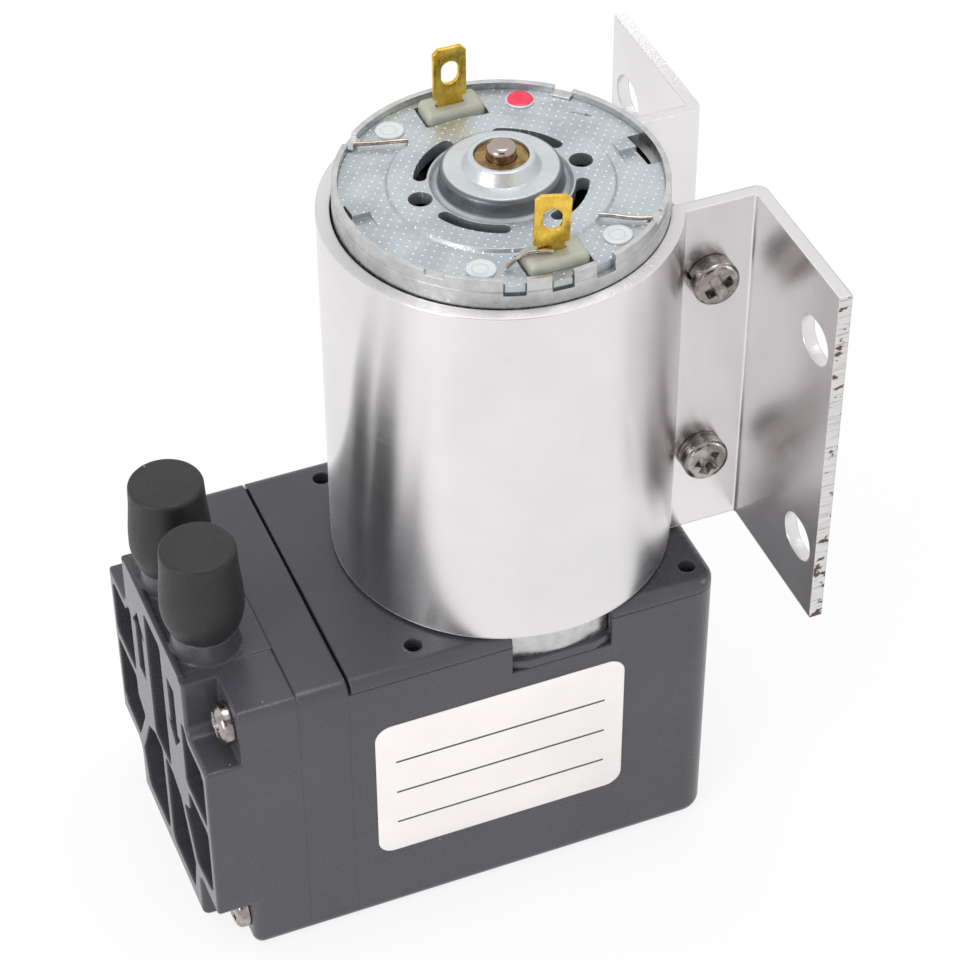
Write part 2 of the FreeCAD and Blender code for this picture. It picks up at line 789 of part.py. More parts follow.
def flap(side):
    """Rubber flap that hangs from a round bead; the inlet opens to +X, the outlet to -X."""
    mid = side * flap_y
    face_x = chamber_floor_x - inlet_pocket_depth if side < 0 else plate_x
    opens = 1 if side < 0 else -1
    near = face_x + opens * run_gap
    far = near + opens * flap_t
    span = (min(near, far), max(near, far))
    width = (mid - flap_half_w, mid + flap_half_w)
    sheet = slab(span, width, (hinge_z - flap_len, hinge_z))
    bead = along_y(flap_bead_r, near + opens * flap_bead_r, hinge_z, *width)
    return joined([sheet, bead])


def diaphragm():
    """Rubber disc: clamped rim, sloping web and a flat centre drawn back by the rod."""
    web_r = port_hole_r - soft_gap
    hole_r = clamp_screw_m_r + soft_gap
    front, back = diaphragm_low_x + head_seam, diaphragm_back_x + head_seam
    outline = [
        (diaphragm_r, 0), (diaphragm_r, diaphragm_t), (web_r, diaphragm_t),
        (diaphragm_flat_r, back), (hole_r, back), (hole_r, front),
        (diaphragm_flat_r - diaphragm_t / 2, front), (web_r - diaphragm_t / 2, 0),
    ]
    return turned(outline, V(-head_seam, 0, pump_z), X_AXIS, Z_AXIS)


def countersunk(front, head_r, shank_r, sink, length):
    """Countersunk screw body along +X from its front face."""
    outline = [(0, 0), (head_r, 0), (shank_r, sink), (shank_r, length), (0, length)]
    return turned(outline, front, X_AXIS, Z_AXIS)


def diaphragm_clamp_plate():
    """Round plate on the chamber side of the diaphragm."""
    back = diaphragm_low_x - soft_gap
    front = back - clamp_plate_t
    plate = along_x(clamp_plate_r, 0, pump_z, front, back)
    plate = soften(plate, clamp_plate_t / 3, lambda p, e: abs(p.x - front) < tiny)
    hole = countersunk(V(front, 0, pump_z), clamp_screw_head_r + fit_gap,
                       clamp_screw_m_r + fit_gap, clamp_plate_t, clamp_plate_t)
    return plate.cut(hole)


def clamp_plate_screw():
    """Countersunk screw from the clamp plate into the connecting rod."""
    front = V(diaphragm_low_x - soft_gap - clamp_plate_t, 0, pump_z)
    reach = rod_face_x - front.x + clamp_screw_depth
    screw = countersunk(front, clamp_screw_head_r, clamp_screw_m_r, clamp_plate_t, reach)
    return screw.cut(cross_recess(front, X_AXIS, clamp_screw_m_r, clamp_plate_t * recess_sink))


def connecting_rod():
    """Bearing eye, neck and round foot behind the diaphragm."""
    eye_r = bearing_r + rod_ring_t
    eye = upright(eye_r, stroke_offset, 0, bearing_low, bearing_top)
    neck = slab((rod_face_x, stroke_offset), (-rod_neck_half, rod_neck_half),
                (bearing_low, bearing_top))
    foot = along_x(rod_foot_r, 0, pump_z, rod_face_x, rod_face_x + rod_foot_t)
    body = joined([eye, neck, foot])
    cuts = [upright(bearing_r + fit_gap, stroke_offset, 0, bearing_low, bearing_top)]
    cuts.append(along_x(clamp_screw_m_r + fit_gap, 0, pump_z, rod_face_x,
                        rod_face_x + clamp_screw_depth + fit_gap))
    return without(body, cuts)


def bearing_ring(inner, outer):
    """One ring of the ball bearing with its groove."""
    ring = tube(outer, inner, bearing_low, bearing_top, stroke_offset)
    centre = V(stroke_offset, 0, pump_z)
    return ring.cut(Part.makeTorus(bearing_pitch_r, ball_r + fit_gap, centre, Z_AXIS))


def bearing_inner_ring():
    """Ring on the eccentric's journal."""
    return bearing_ring(journal_r + fit_gap, journal_r + ring_wall)


def bearing_outer_ring():
    """Ring pressed into the connecting rod."""
    return bearing_ring(bearing_r - ring_wall, bearing_r)


def ball_places():
    """Centres of the bearing balls."""
    turn = 2 * math.pi / ball_count
    return [
        V(stroke_offset + bearing_pitch_r * math.cos(turn * i),
          bearing_pitch_r * math.sin(turn * i), pump_z)
        for i in range(ball_count)
    ]


def bearing_balls():
    """Steel balls."""
    return group([Part.makeSphere(ball_r, place) for place in ball_places()])


def bearing_cage():
    """Thin ring that spaces the balls."""
    ring = tube(bearing_pitch_r + cage_half_t, bearing_pitch_r - cage_half_t,
                pump_z - cage_half_w, pump_z + cage_half_w, stroke_offset)
    centre = V(stroke_offset, 0, pump_z)
    holes = [rod(ball_r + run_gap, centre, centre + (place - centre) * 2) for place in ball_places()]
    return without(ring, holes)


def eccentric():
    """Offset journal, hub and half-round counterweight on the motor shaft."""
    journal = upright(journal_r, stroke_offset, 0, bearing_low, weight_low)
    hub = upright(hub_r, 0, 0, weight_low, weight_top)
    half = upright(counterweight_r, 0, 0, weight_low, weight_top)
    half = half.common(slab((-counterweight_r, 0), (-counterweight_r, counterweight_r),
                            (weight_low, weight_top)))
    shoulder = upright(journal_r + ring_wall / 2, stroke_offset, 0, bearing_top, weight_low)
    body = joined([journal, shoulder, hub, half])
    mid = (weight_low + weight_top) / 2
    cuts = [upright(shaft_r + fit_gap, 0, 0, bearing_low, weight_top)]
    cuts.append(along_x(set_screw_r + fit_gap, 0, mid, -counterweight_r, 0))
    return without(body, cuts)


def eccentric_set_screw():
    """Socket set screw that locks the eccentric to the shaft."""
    mid = (weight_low + weight_top) / 2
    tip = -shaft_r - fit_gap
    screw = along_x(set_screw_r, 0, mid, tip - set_screw_len, tip)
    end = V(tip - set_screw_len, 0, mid)
    return screw.cut(hexagon(end, Y_AXIS, Z_AXIS, hex_key, X_AXIS * set_screw_len / 2))


def radial_box(angle, inner, outer, width, low, high):
    """Box that points outward from the motor axis at an angle in degrees."""
    box = slab((inner, outer), (-width / 2, width / 2), (low, high))
    box.rotate(V(0, 0, 0), Z_AXIS, angle)
    return box


def motor_can():
    """Drawn steel can with a front boss and a thinner, castellated rim with crimped tabs."""
    shoulder = rim_z - rim_h
    can = joined([upright(can_r, 0, 0, seat_z, shoulder),
                  upright(rim_out_r, 0, 0, shoulder, rim_z)])
    can = without(can, [upright(can_in_r, 0, 0, seat_z + can_wall, rim_z),
                        upright(rim_in_r, 0, 0, cap_under_z, rim_z)])
    boss = upright(front_boss_r, 0, 0, seat_z - front_boss_h, seat_z + can_wall)
    tabs = [radial_box(a, rim_in_r - crimp_reach, rim_in_r + rim_wall / 2, crimp_w,
                       cap_z + fit_gap, cap_z + fit_gap + crimp_t) for a in crimp_angles]
    can = joined([can, boss] + tabs)
    cuts = [upright(front_bush_r + fit_gap, 0, 0, seat_z - front_boss_h,
                    seat_z - front_boss_h + front_bush_len)]
    cuts += [radial_box(a, rim_in_r - crimp_reach, can_r + overshoot, crimp_w,
                        cap_z + fit_gap + crimp_t, rim_z) for a in crimp_angles]
    cuts += [radial_box(a, can_in_r - overshoot, can_r + overshoot, castellation_w,
                        rim_z - castellation_depth, rim_z) for a in castellation_angles]
    cuts += [upright(motor_screw_r + fit_gap, sx * motor_screw_half, 0, seat_z,
                     seat_z + can_wall) for sx in (-1, 1)]
    return without(can, cuts)


def arc_slot(radius, half_w, start, end, low, high):
    """Round-ended slot along an arc, angles in degrees."""
    ring = tube(radius + half_w, radius - half_w, low, high)
    reach = 2 * radius
    a, b = math.radians(start), math.radians(end)
    wedge = prism([V(0, 0, low), V(reach * math.cos(a), reach * math.sin(a), low),
                   V(reach * math.cos((a + b) / 2), reach * math.sin((a + b) / 2), low),
                   V(reach * math.cos(b), reach * math.sin(b), low)], Z_AXIS * (high - low))
    ends = [upright(half_w, radius * math.cos(t), radius * math.sin(t), low, high) for t in (a, b)]
    return joined([ring.common(wedge)] + ends)


def terminal_window(side, gap, low, high):
    """Opening in the end cap for an insulator block, or the block itself with a gap of 0."""
    near, far = block_y - block_near - gap, block_y + block_far + gap
    half_x = block_half_x + (block_end_gap if gap else 0)
    return slab((-half_x, half_x), (near, far) if side > 0 else (-far, -near), (low, high))


def rivet_places():
    """Middles of the four heat-staked nylon pegs."""
    return [(sx * rivet_x, sy * rivet_y) for sx in (-1, 1) for sy in (-1, 1)]


def latch_span(side):
    """Low and high end along X of one latch of the brush gear's fixing."""
    near = can_in_r - (latch_in if side < 0 else window_latch_in)
    return sorted((side * near, side * (near + latch_w)))


def latch_wedge(side, end, rise, base):
    """Wedge of a latch: rise at the latch's middle line, base at the plate's edge end."""
    outline = [(0, base), (0, rise), (end, cap_z), (end, base)]
    return prism([V(latch_span(side)[0], y, z) for y, z in outline], X_AXIS * latch_w)


def level_ring(radius, height):
    """Test for the level circle about the motor axis with this radius and height."""
    return lambda p, e: (abs(p.z - height) < tiny
                         and abs(e.Length - math.tau * radius) < tiny)


def motor_end_cap():
    """Pressed steel cover with steps, lugs, latches, vents and the bearing housing."""
    low, step, boss, nose = cap_under_z, cap_z + cap_step_h, cap_z + boss_h, cap_z + housing_h
    edge_r, bore_r = rim_in_r - fit_gap, bush_r + fit_gap
    outline = [
        (edge_r, low), (edge_r, cap_z), (cap_step_r + cap_step_slope, cap_z), (cap_step_r, step),
        (groove_r + groove_half, step), (groove_r, step - groove_depth),
        (groove_r - groove_half, step), (boss_r + boss_flare, step), (boss_r, boss),
        (housing_base_r, boss), (housing_top_r, nose), (bore_r, nose), (bore_r, low),
    ]
    plate = turned(outline, V(0, 0, 0), Z_AXIS, X_AXIS)
    plate = soften(plate, boss_edge, level_ring(boss_r, boss))
    plate = soften(plate, housing_edge, level_ring(housing_top_r, nose))
    plate = without(plate, [latch_wedge(side, -latch_len, cap_z - latch_sink, nose)
                            for side in (-1, 1)])
    middle = cap_z - cap_plate_t / 2
    ridges = [latch_wedge(side, latch_len, cap_z + latch_lift, middle) for side in (-1, 1)]
    ears = [radial_box(a, edge_r - overshoot, rim_out_r - ear_back, castellation_w - 2 * ear_gap,
                       cap_z - ear_t, cap_z) for a in ear_angles]
    plate = joined([plate] + ridges + ears)
    cuts = [tube(boss_r - cap_plate_t, bush_r + cap_plate_t, low, boss - cap_plate_t)]
    cuts += [upright(vent_r, sx * vent_x, 0, low, nose) for sx in (-1, 1)]
    cuts += [arc_slot(slot_r, slot_half_w, start, start + slot_to - slot_from, low, nose)
             for start in (slot_from, 180 - slot_to, 180 + slot_from, 360 - slot_to)]
    cuts += [terminal_window(side, slip_gap, low, nose) for side in (-1, 1)]
    cuts += [upright(peg_r + slip_gap, x, y, low, nose) for x, y in rivet_places()]
    cuts.append(slab((-can_r, latch_span(-1)[0]), (-slip_gap, latch_len), (low, nose)))
    cuts.append(slab((latch_span(1)[1], can_r), (window_from, window_to), (low, nose)))
    return without(plate, cuts)


def bush(outer, low, high):
    """Bronze bush on the motor shaft."""
    ring = tube(outer, shaft_r + run_gap, low, high)
    return soften(ring, bush_edge_r, lambda p, e: e.BoundBox.XLength > 2 * shaft_r + bush_edge_r
                  and abs(p.z - high) < tiny)


def lower_bush():
    """Bush in the can's front boss."""
    low = seat_z - front_boss_h
    return bush(front_bush_r, low, low + front_bush_len)


def upper_bush():
    """Bush in the end cap's housing."""
    high = cap_z + housing_h - bush_recess
    return bush(bush_r, high - bush_len, high)


def ring_sector(inner, outer, middle, half_angle, low, high):
    """Arc-shaped bar about the motor axis, angles in degrees."""
    ring = tube(outer, inner, low, high)
    reach = outer * 3
    corners = [V(0, 0, low)]
    for step in (-1, -0.5, 0, 0.5, 1):
        angle = math.radians(middle + step * half_angle)
        corners.append(V(reach * math.cos(angle), reach * math.sin(angle), low))
    return ring.common(prism(corners, Z_AXIS * (high - low)))


def magnets():
    """Two arc magnets inside the can."""
    return group([
        ring_sector(magnet_in_r, can_in_r - fit_gap, middle, magnet_half_angle,
                    magnet_low, magnet_low + magnet_len)
        for middle in (0, 180)
    ])


def magnet_clips():
    """Bent spring strips that wedge the magnets apart."""
    return group([
        ring_sector(can_in_r - fit_gap - clip_t, can_in_r - fit_gap, middle, clip_half_angle,
                    magnet_low, magnet_low + magnet_len)
        for middle in (90, 270)
    ])


def brush_holder():
    """Nylon plate with an insulator block and two staked pegs, on the +Y side."""
    under = cap_under_z
    plate = slab((-holder_half_x, holder_half_x),
                 (block_y - holder_behind_block, block_y + holder_past_block),
                 (under - holder_t, under))
    plate = plate.common(upright(can_in_r - slip_gap, 0, 0, under - holder_t, under))
    block = terminal_window(1, 0, under, cap_z + block_rise)
    block = soften(block, block_edge_r, lambda p, e: p.z > cap_z or lies_along(e, Z_AXIS))
    pegs = []
    for x in (-rivet_x, rivet_x):
        pegs.append(upright(peg_r, x, rivet_y, under, cap_z))
        head = upright(rivet_r, x, rivet_y, cap_z, cap_z + rivet_rise)
        pegs.append(soften(head, rivet_rise / 2, lambda p, e: p.z > cap_z + rivet_rise - tiny))
    body = joined([plate, block] + pegs)
    blade = slab((terminal_shift - terminal_foot_half - slip_gap,
                  terminal_shift + terminal_foot_half + slip_gap),
                 (block_y - terminal_t / 2 - fit_gap, block_y + terminal_t / 2 + fit_gap),
                 (under - holder_t, cap_z + block_rise))
    return body.cut(blade)


def brush_holders():
    """The two nylon holders, front and back."""
    back = brush_holder()
    return group([back, mirrored_y(back)])


def terminal():
    """Brass blade with an eyelet and a narrower foot, on the +Y side."""
    low = cap_under_z - holder_t
    neck = cap_z + terminal_foot
    top = cap_z + terminal_top
    outline = [
        (-terminal_foot_half, low), (terminal_foot_half, low), (terminal_foot_half, neck),
        (terminal_half_w, neck), (terminal_half_w, top - terminal_chamfer),
        (terminal_half_w - terminal_chamfer, top), (-terminal_half_w + terminal_chamfer, top),
        (-terminal_half_w, top - terminal_chamfer), (-terminal_half_w, neck),
        (-terminal_foot_half, neck),
    ]
    face_y = block_y - terminal_t / 2
    blade = prism([V(terminal_shift + x, face_y, z) for x, z in outline], Y_AXIS * terminal_t)
    hole_top = top - terminal_hole_top - terminal_hole_r
    hole_low = top - terminal_hole_top - terminal_hole_len + terminal_hole_r
    sides = (face_y, face_y + terminal_t)
    hole = joined([
        along_y(terminal_hole_r, terminal_shift, hole_top, *sides),
        along_y(terminal_hole_r, terminal_shift, hole_low, *sides),
        slab((terminal_shift - terminal_hole_r, terminal_shift + terminal_hole_r), sides,
             (hole_low, hole_top)),
    ])
    return blade.cut(hole)


def terminals():
    """The two brass terminals."""
    back = terminal()
    return group([back, mirrored_y(back)])


def brushes():
    """Carbon brushes on both sides of the commutator."""
    low, high = brush_mid_z - brush_h / 2, brush_mid_z + brush_h / 2
    near = commutator_r + fit_gap
    block = slab((-brush_half_w, brush_half_w), (0, near + brush_len), (low, high))
    block = block.cut(upright(near, 0, 0, low, high))
    return group([block, mirrored_y(block)])


def brush_arms():
    """Springy strips that carry the brushes and meet the terminal feet."""
    low = brush_mid_z - brush_h / 2
    near = commutator_r + fit_gap + brush_len
    foot = cap_under_z - holder_t
    end = block_y + terminal_t / 2
    outline = [(near, low), (near + arm_t, low), (near + arm_t, foot - arm_t),
               (end, foot - arm_t), (end, foot), (near, foot)]
    arm = prism([V(-brush_half_w, y, z) for y, z in outline], X_AXIS * 2 * brush_half_w)
    return group([arm, mirrored_y(arm)])


def wire(points):
    """Round wire through points, with a ball at each bend."""
    parts = [rod(stub_r, a, b) for a, b in zip(points, points[1:])]
    parts += [Part.makeSphere(stub_r, p) for p in points[1:-1]]
    return joined(parts)


def lead_stubs():
    """Three cut wire ends: two lie on crimped tabs, one comes off the front insulator."""
    z = cap_z + stub_r + fit_gap
    on_tab, on_step = z + fit_gap + crimp_t, z + cap_step_h
    stubs = []
    for outer, inner in stub_angles:
        ends = [V(r * math.cos(math.radians(a)), r * math.sin(math.radians(a)), height)
                for r, a, height in ((stub_out_r, outer, on_tab), (stub_in_r, inner, on_step))]
        stubs.append(wire(ends))
    start = V(terminal_shift - stub_side, -block_y - stub_front, z + block_rise)
    edge = V(-block_half_x - stub_r, start.y, start.z)
    stubs.append(wire([start, edge, V(edge.x - stub_fall / 2, edge.y + stub_turn, z)]))
    return group(stubs)


def polarity_dot():
    """Round paint mark on one rivet head."""
    low = cap_z + rivet_rise
    return upright(rivet_r - rivet_rise / 3, rivet_x, rivet_y, low, low + dot_t)


def motor_screws():
    """Two screws from below the lid into the motor's front face."""
    return group([
        pan_screw(V(sx * motor_screw_half, 0, seat_z - seat_floor), Z_AXIS, motor_screw_r,
                  motor_screw_len, motor_screw_head_r, motor_screw_head_h)
        for sx in (-1, 1)
    ])


def shaft():
    """Steel motor shaft with rounded ends."""
    bar = upright(shaft_r, 0, 0, shaft_low, shaft_top)
    return soften(bar, shaft_dome, lambda p, e: e.Length > 0 and (
        abs(p.z - shaft_low) < tiny or abs(p.z - shaft_top) < tiny))


def pole_angles():
    """Directions of the armature's poles in degrees."""
    return [90 + 360 / pole_count * i for i in range(pole_count)]


def armature_core():
    """Laminated core with one T-shaped tooth per pole."""
    root = upright(tooth_root_r, 0, 0, core_low, core_high)
    teeth = [radial_box(a, 0, core_r - pole_shoe_t / 2, 2 * tooth_half, core_low, core_high)
             for a in pole_angles()]
    shoes = [ring_sector(core_r - pole_shoe_t, core_r, a, pole_shoe_half_angle,
                         core_low, core_high) for a in pole_angles()]
    return joined([root] + teeth + shoes).cut(
        upright(shaft_r + fit_gap, 0, 0, core_low, core_high))


def coil(angle):
    """Winding round one tooth: a frame with a clear window for the tooth."""
    inner, outer = tooth_root_r + coil_side, core_r - pole_shoe_t - coil_out
    half = tooth_half + coil_gap
    low, high = core_low - coil_gap, core_high + coil_gap
    ends = (low - coil_rise, high + coil_rise)
    frame = radial_box(angle, inner, outer, 2 * (half + coil_side), *ends)
    frame = frame.common(upright(core_r - pole_shoe_t - coil_gap, 0, 0, *ends))
    window = radial_box(angle, inner - overshoot, outer + overshoot, 2 * half, low, high)
    return frame.cut(window)


def windings():
    """One coil per tooth."""
    return group([coil(a) for a in pole_angles()])


def commutator():
    """Copper segments, parted by narrow slots."""
    ring = tube(commutator_r, shaft_r + fit_gap, commutator_low, commutator_high)
    slots = [radial_box(a, commutator_r - commutator_slot_depth, commutator_r + overshoot,
                        commutator_slot, commutator_low, commutator_high) for a in pole_angles()]
    return without(ring, slots)


def shaft_washers():
    """Thrust washers above and below the armature."""
    low = seat_z - front_boss_h + front_bush_len + run_gap
    high = cap_z + housing_h - bush_recess - bush_len - run_gap
    return group([tube(washer_r, shaft_r + fit_gap, low, low + washer_t),
                  tube(washer_r, shaft_r + fit_gap, high - washer_t, high)])


def bracket_profile():
    """Corner points of one ear and flange, on the +Y side."""
    return [(0, ear_inner), (flange_outer, ear_inner), (flange_outer, flange_end),
            (flange_inner, flange_end), (flange_inner, ear_outer), (0, ear_outer)]


def bend_edges(low_x, y):
    """Test for the upright edge at a bend."""
    return lambda p, e: (lies_along(e, Z_AXIS) and abs(p.x - low_x) < tiny
                         and abs(abs(p.y) - y) < tiny)


def bracket():
    """One bent aluminium sheet: split sleeve, two ears and two slotted flanges."""
    low, high = bracket_low, bracket_high
    sleeve = upright(sleeve_out_r, -sleeve_shift, 0, low, high)
    arms = []
    for side in (-1, 1):
        points = [V(x, side * y, low) for x, y in bracket_profile()]
        arm = prism(points, Z_AXIS * (high - low))
        arm = soften(arm, bend_out_r, bend_edges(flange_outer, ear_inner))
        arm = soften(arm, bend_in_r, bend_edges(flange_inner, ear_outer))
        arms.append(arm)
    body = joined([sleeve] + arms)
    cuts = [upright(sleeve_in_r, -sleeve_shift, 0, low, high)]
    cuts.append(slab((opening_x, flange_outer), (-ear_inner, ear_inner), (low, high)))
    cuts += [flange_slot(side * slot_y, bracket_mid + level * slot_half_pitch)
             for side in (-1, 1) for level in (-1, 1)]
    cuts += [along_y(clamp_r + screw_gap, clamp_x, z, -ear_outer, ear_outer)
             for z in clamp_heights]
    return without(body, cuts).removeSplitter()


def flange_slot(y, z):
    """Oblong slot through a flange, its length along Y."""
    reach = (slot_len - slot_w) / 2
    ends = (flange_inner, flange_outer)
    return joined([
        along_x(slot_w / 2, y - reach, z, *ends),
        along_x(slot_w / 2, y + reach, z, *ends),
        slab(ends, (y - reach, y + reach), (z - slot_w / 2, z + slot_w / 2)),
    ])


def clamp_screws():
    """Two screws across the bracket's ears."""
    seat = -ear_outer - spring_washer_t
    length = ear_outer - seat + nut_t + clamp_past_nut
    return group([
        pan_screw(V(clamp_x, seat, z), Y_AXIS, clamp_r, length, clamp_head_r, clamp_head_h)
        for z in clamp_heights
    ])


def spring_washers():
    """Split spring washers under the clamp screw heads."""
    rings = []
    for z in clamp_heights:
        ends = (-ear_outer - spring_washer_t, -ear_outer)
        ring = along_y(spring_washer_r, clamp_x, z, *ends).cut(
            along_y(clamp_r + slip_gap, clamp_x, z, *ends))
        split = slab((clamp_x - spring_washer_r, clamp_x), ends,
                     (z - spring_washer_split / 2, z + spring_washer_split / 2))
        rings.append(ring.cut(split))
    return group(rings)


def clamp_nuts():
    """Hexagon nuts behind the far ear."""
    nuts = []
    for z in clamp_heights:
        nut = hexagon(V(clamp_x, ear_outer, z), X_AXIS, Z_AXIS, nut_across, Y_AXIS * nut_t)
        hole = along_y(clamp_r + fit_gap, clamp_x, z, ear_outer, ear_outer + nut_t)
        nuts.append(nut.cut(hole))
    return group(nuts)


def push_cap(side):
    """Soft cap over a nozzle, with a bulge near its open rim."""
    z = collar_z + run_gap
    bore = nozzle_r + run_gap
    roof = cap_len - cap_roof
    flare_r = (cap_rim_r + cap_bulge_r) / 2 + cap_swell
    outline = [(bore, 0), (cap_rim_r, 0), (flare_r, cap_bulge_z / 3), (cap_bulge_r, cap_bulge_z),
               (cap_top_r, cap_len), (0, cap_len), (0, roof), (bore, roof)]
    body = turned(outline, V(nozzle_x, side * nozzle_y, z), Z_AXIS, X_AXIS)
    return soften(body, cap_edge_r, lambda p, e: p.z > z + cap_len - tiny and e.Length > cap_top_r)


def label():
    """Blank sticker on the crankcase wall."""
    sheet = slab((label_from, label_from + label_len), (-half_w - label_t, -half_w),
                 (label_low, label_low + label_h))
    return soften(sheet, label_corner_r, lambda p, e: lies_along(e, Y_AXIS))


NODES = {
    "crankcase": crankcase,
    "crankcase_lid": crankcase_lid,
    "lid_screws": lid_screws,
    "valve_plate": valve_plate,
    "diaphragm": diaphragm,
    "passage_seals": passage_seals,
    "head_cover": head_cover,
    "head_screws": head_screws,
    "label": label,
    "motor_can": motor_can,
    "motor_end_cap": motor_end_cap,
    "lower_bush": lower_bush,
    "upper_bush": upper_bush,
    "magnets": magnets,
    "magnet_clips": magnet_clips,
    "brush_holders": brush_holders,
    "brushes": brushes,
    "brush_arms": brush_arms,
    "terminals": terminals,
    "lead_stubs": lead_stubs,
    "polarity_dot": polarity_dot,
    "motor_screws": motor_screws,
    "bracket": bracket,
    "clamp_screws": clamp_screws,
    "spring_washers": spring_washers,
    "clamp_nuts": clamp_nuts,
    "shaft": shaft,
    "armature_core": armature_core,
    "windings": windings,
    "commutator": commutator,
    "shaft_washers": shaft_washers,
    "eccentric": eccentric,
    "eccentric_set_screw": eccentric_set_screw,
    "bearing_inner_ring": bearing_inner_ring,
    "bearing_cage": bearing_cage,
    "bearing_balls": bearing_balls,
    "connecting_rod": connecting_rod,
    "bearing_outer_ring": bearing_outer_ring,
    "diaphragm_clamp_plate": diaphragm_clamp_plate,
    "clamp_plate_screw": clamp_plate_screw,
    "inlet_cap": lambda: push_cap(-1),
    "outlet_cap": lambda: push_cap(1),
    "inlet_flap": lambda: flap(-1),
    "outlet_flap": lambda: flap(1),
}

os.makedirs("parts", exist_ok=True)
for name, build in NODES.items():
    shape = build()
    shape.exportStep(os.path.join("parts", name + ".step"))
    print(name, len(shape.Solids), "solids", round(shape.Volume, 1), "mm3")
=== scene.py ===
"""Mini vacuum pump: finishes, small fittings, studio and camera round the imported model.

The row frame is used throughout: the motor axis is Z, the base stands on Z = 0, -X is the
pump head and -Y the label. Sizes in the classes are millimetres; Blender works in metres.
"""

import logging
import math
from dataclasses import dataclass
from enum import Enum
from functools import lru_cache, partial, reduce
from typing import Callable

import bmesh
import bpy
from mathutils import Matrix, Vector


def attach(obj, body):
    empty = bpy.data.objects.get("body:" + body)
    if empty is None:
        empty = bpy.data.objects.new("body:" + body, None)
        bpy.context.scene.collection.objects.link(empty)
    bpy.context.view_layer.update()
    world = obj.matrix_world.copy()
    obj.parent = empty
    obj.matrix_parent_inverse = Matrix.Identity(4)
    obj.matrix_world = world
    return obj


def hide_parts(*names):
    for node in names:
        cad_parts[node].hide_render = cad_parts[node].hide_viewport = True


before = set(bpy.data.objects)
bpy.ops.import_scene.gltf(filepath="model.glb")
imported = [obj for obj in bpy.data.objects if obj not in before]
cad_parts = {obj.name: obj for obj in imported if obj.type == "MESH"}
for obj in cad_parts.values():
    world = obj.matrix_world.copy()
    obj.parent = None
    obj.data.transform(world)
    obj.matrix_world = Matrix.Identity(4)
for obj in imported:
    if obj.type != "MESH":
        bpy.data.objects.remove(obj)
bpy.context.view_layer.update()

log = logging.getLogger("pump")
MM = 0.001
Point = tuple[float, float, float]
Outline = list[tuple[float, float]]


def linear(hex_colour: str) -> tuple[float, float, float, float]:
    """Turn an sRGB hex colour into linear RGBA.

    Args:
        hex_colour: Colour such as "#4a4b50".

    Returns:
        Linear red, green, blue and an alpha of 1.
    """
    values = [int(hex_colour[i:i + 2], 16) / 255 for i in (1, 3, 5)]
    red, green, blue = [
        v / 12.92 if v <= 0.04045 else ((v + 0.055) / 1.055) ** 2.4 for v in values
    ]
    return red, green, blue, 1.0


def add_node(tree: bpy.types.NodeTree, kind: str, settings: dict | None = None,
             links: dict | None = None) -> bpy.types.Node:
    """Add a shader node with its settings and links.

    Args:
        tree: Node tree that takes the node.
        kind: Blender's type name for the node.
        settings: Values by input name or number, or by property name.
        links: Output sockets by the input name or number that they feed.

    Returns:
        The new node.
    """
    node = tree.nodes.new(kind)
    for key, value in (settings or {}).items():
        if isinstance(key, int) or key in node.inputs:
            node.inputs[key].default_value = value
        else:
            setattr(node, key, value)
    for key, socket in (links or {}).items():
        tree.links.new(socket, node.inputs[key])
    return node


def empty_tree(owner: bpy.types.Material | bpy.types.World) -> bpy.types.NodeTree:
    """The node tree of a material or world, switched on and emptied."""
    owner.use_nodes = True
    owner.node_tree.nodes.clear()
    return owner.node_tree


def data_of(name: str, mesh: bmesh.types.BMesh) -> bpy.types.Mesh:
    """Mesh data with the shape of a mesh, which is freed."""
    data = bpy.data.meshes.new(name)
    mesh.to_mesh(data)
    mesh.free()
    return data


def mesh_of(data: bpy.types.Mesh) -> bmesh.types.BMesh:
    """Mesh with the shape of mesh data, which is removed."""
    mesh = bmesh.new()
    mesh.from_mesh(data)
    bpy.data.meshes.remove(data)
    return mesh


def add_object(name: str, data: bpy.types.ID) -> bpy.types.Object:
    """New object of the data in the scene."""
    item = bpy.data.objects.new(name, data)
    bpy.context.scene.collection.objects.link(item)
    return item


def mesh_of_curve(curve: bpy.types.Curve) -> bmesh.types.BMesh:
    """Mesh with the shape of a curve, which is removed."""
    holder = add_object(curve.name, curve)
    data = bpy.data.meshes.new_from_object(holder)
    bpy.data.objects.remove(holder)
    bpy.data.curves.remove(curve)
    return mesh_of(data)


class Pattern(Enum):
    """What a finish shows beyond its grain."""

    PLAIN = "plain"
    DIMPLES = "dimples_and_glints"
    PORES = "pores"
    LAYERS = "layers"
    WIRES = "wires"
    RULES = "rules"
    SHEARED = "sheared"
    PEGS = "pegs"
    SEAM = "seam"


